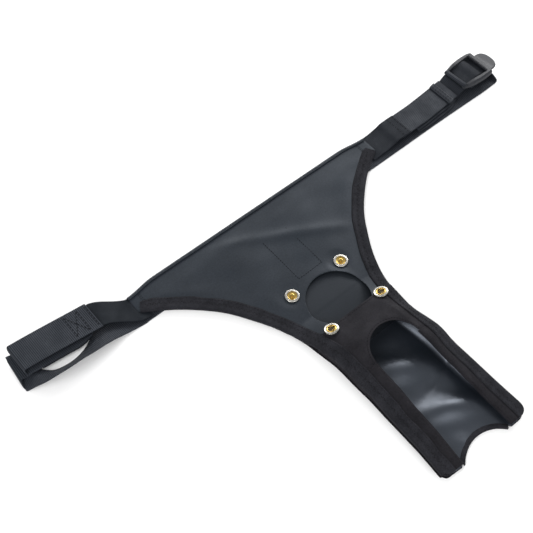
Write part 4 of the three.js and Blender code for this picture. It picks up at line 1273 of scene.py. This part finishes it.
def build_buckle():
    """The buckle with barrel-shaped rails, bars, a toothed grip and a tab, and the webbing in it."""
    low, high = node_box("ladder_lock")
    plastic = LOOKS["plastic"]
    lock_low, lock_top = low[2], high[2]
    nose = BAR[0] - 2
    grip = BAR[0] + 36
    heel = grip + 5.5
    pieces = []
    for side in (-1, 1):
        rows = []
        for share in np.linspace(0, 1, 41):
            end = math.sqrt(max(0.0, 1 - (abs(2 * share - 1)) ** 14))
            x = nose - 0.6 + (heel - nose + 1.2) * share
            inner, outer = lock_half(share)
            floor = lock_low + (BAR[2] - 1.9 - lock_low) * float(smooth(0.16, 0.0, share))
            crown = BAR[2] + 1.8 + (lock_top - BAR[2] - 1.8) * float(smooth(0.0, 0.42, share))
            crown -= 0.5 * share ** 6
            middle, half = (floor + crown) / 2, (crown - floor) / 2 * (0.45 + 0.55 * end)
            outer = inner + (outer - inner) * (0.45 + 0.55 * end)
            bevel = min(2.1, (outer - inner) * 0.55)
            ring = [(inner, middle - half), (inner, middle + half - 0.4), (inner + 0.4, middle + half),
                    (outer - bevel, middle + half), (outer - 0.5, middle + half - bevel * 0.75),
                    (outer, middle + half - bevel * 1.2), (outer, middle - half + 0.8),
                    (outer - 0.7, middle - half)]
            rows.append([[x, BUCKLE_SHIFT + side * y, z] for y, z in ring])
        pieces.append(make_loft("rail", rows, plastic, sharp=30))
    pieces.append(round_bar("bar", BAR[0], BAR[2], BAR_R, lock_half(0.05)[0] + 0.8, plastic))
    pieces.append(round_bar("bar", BAR[0] + MID_BAR, lock_low + 2.4, BAR_R, lock_half(0.55)[0] + 0.8, plastic))
    inner = lock_half(0.92)[0] + 0.3
    grip_top = lock_top - 0.6
    grip_outline = [(grip, grip_top - 2.6), (grip + 0.9, grip_top - 3.4), (heel - 0.2, grip_top - 3.4),
                    (heel, grip_top - 0.9), (heel - 1.2, grip_top - 0.1), (grip + 1.4, grip_top),
                    (grip + 0.2, grip_top - 0.8)]
    pieces.append(prism_y("grip", grip_outline, -inner - 0.6, inner + 0.6, plastic))
    count = 14
    pitch = 2 * inner / count
    tooth = [(grip - 0.9, grip_top - 1.9), (grip + 0.6, grip_top - 2.4), (grip + 1.6, grip_top - 0.3),
             (grip + 0.5, grip_top + 0.05), (grip - 0.6, grip_top - 0.7)]
    for k in range(count):
        y = -inner + pitch * (k + 0.5)
        pieces.append(prism_y("tooth", tooth, y - pitch * 0.27, y + pitch * 0.27, plastic))
    angle = np.linspace(-math.pi / 2, math.pi / 2, 33)
    reach = high[0] - heel + 0.5
    plan = [[heel - 0.5 + (reach + 2) * max(math.cos(a), 0) ** 0.55, 13.5 * math.sin(a)] for a in angle]
    rows = []
    for drop, size in ((2.8, 0.94), (2.3, 1.0), (1.2, 1.0), (0.6, 0.95)):
        rows.append([[heel - 0.5 + (x - heel + 0.5) * size, BUCKLE_SHIFT - 2.5 + y * size, grip_top - drop]
                     for x, y in plan])
    pieces.append(make_loft("tab", rows, plastic, sharp=25))
    lock = join("ladder_lock_body", pieces)
    rounded(lock, 0.35, 2, 40)
    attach(lock, "buckle")
    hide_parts("ladder_lock")

    over = lock_low + 2.4 + BAR_R + 0.3 + WEB_MID
    under = lock_top - 4 - 0.3 - WEB_MID
    base = lock_low + 0.3 + WEB_MID
    bar = BAR[0] + MID_BAR
    profile = [[BAR[0] + 6, base], [bar - 9, base + 1.6], [bar - 5, over - 1.0], [bar - 1.6, over - 0.02],
               [bar + 1.6, over], [bar + 4.6, over - 0.9], [bar + 8.2, under - 0.2], [grip + 3, under - 0.5],
               [heel + 2, under - 0.6]]

    def run_shift(x, z):
        return BUCKLE_SHIFT + 1.5 * float(smooth(bar, bar + 9, x))

    web = strap_sheet("adjuster_webbing_run", profile, run_shift, "fine_web", width=26.6, pitch=1.7,
                      rib=0.08)
    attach(web, "buckle")
    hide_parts("adjuster_webbing")


# ---- snaps ---------------------------------------------------------------------------------------
def turned(name, profile, place, material, sides=96):
    """A round part turned from a radius and height profile, set in place by a 4x4 matrix."""
    angles = np.linspace(0, 2 * math.pi, sides, endpoint=False)
    rows = []
    for radius, z in profile:
        r = max(radius, 0.01)
        rows.append([place @ Vector((r * math.cos(a), r * math.sin(a), z)) for a in angles])
    if profile[0][0] == 0:
        return make_loft(name, rows, material, sharp=40)
    count = len(rows) * sides
    faces = [[corner % count for corner in face] for face in grid_faces(len(rows) + 1, sides, wrap=True)]
    return make_object(name, np.array(rows, float).reshape(-1, 3), faces, material, None, 40)


def arc(cx, cz, radius, a0, a1, count):
    """Points of an arc in a profile."""
    return [(cx + radius * math.cos(math.radians(a)), cz + radius * math.sin(math.radians(a)))
            for a in np.linspace(a0, a1, count)]


# Profiles of the turned parts: radius, height.
RING = [(5.15, 0.0), (7.1, 0.0), *arc(6.75, 0.62, 0.62, -60, 100, 9), (6.2, 1.36), (5.7, 1.38),
        *arc(5.55, 1.0, 0.4, 80, 200, 7), (5.1, 0.5)]
STUD = [(0.0, 0.05), (4.9, 0.05), (4.95, 0.9), (4.6, 0.95), (4.2, 0.78), (3.4, 0.6), (2.2, 0.62), (1.55, 0.75),
        (1.45, 1.1), (1.5, 1.5), (1.75, 1.85), (1.8, 2.1), (1.7, 2.35), (1.35, 2.53), (0.7, 2.6), (0.0, 2.6)]
CUP = [(0.0, 0.05), (4.9, 0.05), (4.95, 0.95), (4.6, 1.3), (4.25, 1.42), (3.9, 1.36), (3.62, 1.15), (3.55, 0.8),
       (3.5, 0.4), (2.4, 0.36), (0.0, 0.36)]
# WELL is the profile of the dark disc of painted shade in the socket's cup.
WELL = [(0.0, 0.37), (3.45, 0.37), (3.47, 0.6), (3.42, 0.6), (3.4, 0.41), (0.0, 0.41)]
SPRING = [[-2.1, 2.25, 0.8], [0, 2.2, 0.8], [1.7, 2.25, 0.8], [2.25, 1.7, 0.8], [2.35, 0, 0.8], [2.25, -1.7, 0.8],
          [1.7, -2.25, 0.8], [0, -2.2, 0.8], [-2.1, -2.25, 0.8]]


def build_snaps():
    """Two studs on the panel and two sockets on the leg, each with its ring."""
    lift = FOLD[2] - PANEL_TOP - FACE_STEP - GAP
    for side, word in ((-1, "left"), (1, "right")):
        chest = Matrix.Translation((SNAP_X * side, FOLD[1] + SNAP_Y, PANEL_TOP + GAP))
        slope = (Matrix.Translation((SNAP_X * side, FOLD[1], FOLD[2]))
                 @ Matrix.Rotation(math.radians(-LEG_TILT), 4, "X") @ Matrix.Translation((0, -SNAP_Y, -lift)))
        for node, profile, place, look, body in (
                (f"stud_ring_{word}", RING, chest, "nickel", "chest"),
                (f"stud_{word}", STUD, chest, "brass", "chest"),
                # Socket rings in the darker copy of the nickel: painted shade.
                (f"socket_ring_{word}", RING, slope, "worn_nickel", "leg"),
                (f"socket_{word}", CUP, slope, "brass", "leg")):
            part = turned(f"{node}_turned", profile, place, LOOKS[look])
            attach(part, body)
            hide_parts(node)
        # A dark disc under the spring: painted shade of the socket's recess.
        well = turned(f"socket_well_{word}", WELL, slope, LOOKS["well"])
        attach(well, "leg")
        spring = make_tube(f"socket_spring_wire_{word}", SPRING, 0.17, LOOKS["brass"], slope, 0.15, 12)
        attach(spring, "leg")
        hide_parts(f"socket_spring_{word}")


# ---- seams on the panel --------------------------------------------------------------------------
def on_panel(points, lift=0.12):
    """Points of a pattern laid on the panel."""
    points = np.array(points, float)
    return np.column_stack([points, panel_z(points[:, 0], points[:, 1]) + lift])


def build_panel_seams():
    """The stitches round the rear patch and across both wing tips."""
    low, high = node_box("rear_patch")
    left, right, foot, head = low[0] + 0.2, high[0] + 2.5, low[1] - 5, high[1] - 0.5
    corner = 2
    outline = [[left, head], [left, (head + foot) / 2], [left, foot + corner], [left + corner, foot],
               [(left + right) / 2, foot - 0.3], [right - corner, foot], [right, foot + corner],
               [right, (head + foot) / 2], [right - 0.6, head]]
    ride_stitches("patch_stitch", [on_panel(outline)], "chest", length=2.1, gap=0.8, radius=0.2)
    for side, word in ((-1, "left"), (1, "right")):
        rows = []
        for back in (10.5, 12.2):
            x = side * (WING_SPAN - back)
            rows.append(on_panel([[x, TOP_Y - 5], [x, (TOP_Y + TIP_Y) / 2], [x, TIP_Y + 2]], 0.15))
        ride_stitches(f"wing_stitch_{word}", rows, "chest", length=2.0, gap=0.8, radius=0.2)


def build_pocket_seams():
    """The stitches round the pocket's window and along the bridge's upper edge."""
    seam = BRIDGE_LOW[1]
    for side, word in ((-1, "left"), (1, "right")):
        ys = np.full(7, seam + 2.2)
        xs = side * np.linspace(WINDOW_HALF + 2, float(half_width(seam)) - BIND_W - 1, 7)
        across = np.column_stack([xs, ys, front_z(xs, ys) + 0.1])
        ys = np.linspace(seam - 2, LEG_END_Y + 2, 20)
        xs = side * (window_half(ys) + 2.2)
        down = np.column_stack([xs, ys, front_z(xs, ys) + 0.1])
        ride_stitches(f"strip_stitch_{word}", [across, down], "leg", length=2.0, gap=0.8, radius=0.2)
    xs = np.linspace(-40, 40, 40)
    ys = np.full(40, BRIDGE_HIGH[1] - 2.4)
    top = np.column_stack([xs, ys, front_z(xs, ys) + 0.1])
    arch = np.linspace(0.04, math.pi - 0.04, 40)
    ax = (WINDOW_HALF + 2.4) * np.cos(arch)
    ay = APEX_Y - WINDOW_HALF + (WINDOW_HALF + 2.4) * np.sin(arch)
    rim = np.column_stack([ax, ay, front_z(ax, ay) + 0.1])
    ride_stitches("bridge_stitch", [top, rim], "leg", length=2.0, gap=0.8, radius=0.2)


# ---- stage ---------------------------------------------------------------------------------------
def build_stage(settings):
    """Pale floor, even light from all round, four lamps and the camera."""
    floor_mesh = bpy.data.meshes.new("floor")
    size = 3.0
    corners = [(-size, -size, 0), (size, -size, 0), (size, size, 0), (-size, size, 0)]
    floor_mesh.from_pydata(corners, [], [(0, 1, 2, 3)])
    floor = bpy.data.objects.new("floor", floor_mesh)
    floor.location.z = -0.0003
    bpy.context.scene.collection.objects.link(floor)
    paper, tree, shader = new_material("pale_floor")
    mottle = group_node(tree, "mottle", Scale=3.0, Fine=400.0)
    patch_colour(tree, mottle, shader, [(0.3, (0.93, 0.93, 0.93)), (0.7, (0.95, 0.95, 0.95))])
    shader.inputs["Roughness"].default_value = 0.9
    shader.inputs["Specular IOR Level"].default_value = 0.1
    floor_mesh.materials.append(paper)

    world = bpy.data.worlds.new("studio")
    world.use_nodes = True
    world.node_tree.nodes["Background"].inputs[0].default_value = (1, 1, 1, 1)
    world.node_tree.nodes["Background"].inputs[1].default_value = settings.fill
    bpy.context.scene.world = world
    middle = Vector((-0.02, -0.10, 0))
    for name, place, width, height, power in (
            ("key", (-1.25, -0.35, 1.15), 1.1, 0.9, settings.key),
            ("near", (-0.15, -1.45, 1.2), 1.3, 0.9, settings.key * 0.7),
            ("right", (1.45, 0.45, 0.75), 1.0, 0.55, settings.key * 1.15),
            ("far", (0.62, 1.30, 0.68), 1.3, 0.42, settings.key * 0.9)):
        lamp = bpy.data.lights.new(name, "AREA")
        lamp.shape = "RECTANGLE"
        lamp.size, lamp.size_y = width, height
        lamp.energy = power
        holder = bpy.data.objects.new(name, lamp)
        holder.location = place
        holder.rotation_euler = (middle - Vector(place)).to_track_quat("-Z", "Y").to_euler()
        bpy.context.scene.collection.objects.link(holder)

    camera = bpy.data.cameras.new("camera")
    camera.lens = settings.lens
    camera.sensor_width = 36
    holder = bpy.data.objects.new("camera", camera)
    holder.location = Vector((-377.1, -456.2, 838.7)) * MM
    target = Vector((-27, -39, 0)) * MM
    holder.rotation_euler = (target - holder.location).to_track_quat("-Z", "Y").to_euler()
    bpy.context.scene.collection.objects.link(holder)
    bpy.context.scene.camera = holder
    bpy.context.scene.view_settings.view_transform = "Standard"
    bpy.context.scene.view_settings.exposure = settings.exposure


# ---- add-on --------------------------------------------------------------------------------------
def tone(look, name):
    """A colour property for the light tone of a look."""
    return bpy.props.FloatVectorProperty(name=name, description=f"Light tone of the {name.lower()}",
                                         default=default_tone(look), size=3, min=0, max=1, subtype="COLOR")


class HarnessTones(bpy.types.PropertyGroup):
    """Colours of the materials; the dark tones follow them."""
    coated: tone("coated", "Coated panel")
    backing: tone("backing", "Panel backing")
    lining: tone("lining", "Glossy pocket lining")
    pocket: tone("pocket", "Pocket cloth")
    tape: tone("tape", "Edge binding")
    ribbed: tone("ribbed", "Ribbed webbing")
    fine_web: tone("fine_web", "Fine webbing")
    smooth_web: tone("smooth_web", "Smooth webbing")
    dark_web: tone("dark_web", "Dark webbing")
    thread: tone("thread", "Sewing thread")
    nickel: tone("nickel", "Stud rings")
    worn_nickel: tone("worn_nickel", "Socket rings")
    brass: tone("brass", "Brass snaps")
    plastic: tone("plastic", "Plastic buckle")


class HarnessStage(bpy.types.PropertyGroup):
    """Choices for the stage."""
    key: bpy.props.FloatProperty(name="Key light", description="Strength of the main light", default=17.0, min=0,
                                 unit="POWER")
    fill: bpy.props.FloatProperty(name="Fill light", description="Strength of the light from all round",
                                  default=0.5, min=0)
    exposure: bpy.props.FloatProperty(name="Exposure", description="Brightness of the picture in stops",
                                      default=0.0)
    lens: bpy.props.FloatProperty(name="Lens", description="Focal length of the camera", default=67.5, min=1,
                                  subtype="DISTANCE_CAMERA", unit="CAMERA")


class HARNESS_OT_looks(bpy.types.Operator):
    """Make the cloth, metal and plastic materials"""
    bl_idname = "harness.looks"
    bl_label = "Make materials"

    def execute(self, context):
        build_looks(context.scene.harness_tones)
        return {"FINISHED"}


class HARNESS_OT_panel(bpy.types.Operator):
    """Make the coated chest panel, its top binding, rear patch and seams"""
    bl_idname = "harness.panel"
    bl_label = "Make panel"

    def execute(self, context):
        build_panel()
        build_top_binding()
        build_rear_patch()
        build_panel_seams()
        return {"FINISHED"}


class HARNESS_OT_pocket(bpy.types.Operator):
    """Make the pocket: glossy lining, back, front, walls, notch edge and seams"""
    bl_idname = "harness.pocket"
    bl_label = "Make pocket"

    def execute(self, context):
        build_lining()
        build_leg_back()
        build_pocket_front()
        build_side_walls()
        build_notch_binding()
        build_pocket_seams()
        return {"FINISHED"}


class HARNESS_OT_binding(bpy.types.Operator):
    """Make the edge binding of both sides with its stitching"""
    bl_idname = "harness.binding"
    bl_label = "Make edge binding"

    def execute(self, context):
        build_binding()
        return {"FINISHED"}


class HARNESS_OT_snaps(bpy.types.Operator):
    """Make the snap studs and sockets"""
    bl_idname = "harness.snaps"
    bl_label = "Make snaps"

    def execute(self, context):
        build_snaps()
        return {"FINISHED"}


class HARNESS_OT_straps(bpy.types.Operator):
    """Make the back strap with its loops and both folded straps"""
    bl_idname = "harness.straps"
    bl_label = "Make straps"

    def execute(self, context):
        build_back_strap()
        build_right_straps()
        build_left_straps()
        return {"FINISHED"}


class HARNESS_OT_buckle(bpy.types.Operator):
    """Make the ladder-lock buckle and the webbing inside it"""
    bl_idname = "harness.buckle"
    bl_label = "Make buckle"

    def execute(self, context):
        build_buckle()
        return {"FINISHED"}


class HARNESS_OT_stage(bpy.types.Operator):
    """Make the floor, lights and camera"""
    bl_idname = "harness.stage"
    bl_label = "Make stage"

    def execute(self, context):
        build_stage(context.scene.harness_stage)
        return {"FINISHED"}


STEPS = (HARNESS_OT_looks, HARNESS_OT_panel, HARNESS_OT_pocket, HARNESS_OT_binding, HARNESS_OT_snaps,
         HARNESS_OT_straps, HARNESS_OT_buckle, HARNESS_OT_stage)


class HARNESS_PT_panel(bpy.types.Panel):
    """Sidebar panel with one button for each group of pieces"""
    bl_idname = "HARNESS_PT_panel"
    bl_label = "Transceiver harness"
    bl_space_type = "VIEW_3D"
    bl_region_type = "UI"
    bl_category = "Harness"

    def draw(self, context):
        for choices in (context.scene.harness_tones, context.scene.harness_stage):
            for name in type(choices).__annotations__:
                self.layout.prop(choices, name)
        for step in STEPS:
            self.layout.operator(step.bl_idname)


CLASSES = (HarnessTones, HarnessStage, *STEPS, HARNESS_PT_panel)


def register():
    for item in CLASSES:
        bpy.utils.register_class(item)
    bpy.types.Scene.harness_tones = bpy.props.PointerProperty(type=HarnessTones)
    bpy.types.Scene.harness_stage = bpy.props.PointerProperty(type=HarnessStage)


def unregister():
    del bpy.types.Scene.harness_stage
    del bpy.types.Scene.harness_tones
    for item in reversed(CLASSES):
        bpy.utils.unregister_class(item)


def main():
    register()
    for step in STEPS:
        group, name = step.bl_idname.split(".")
        getattr(getattr(bpy.ops, group), name)()


if __name__ == "__main__":
    main()
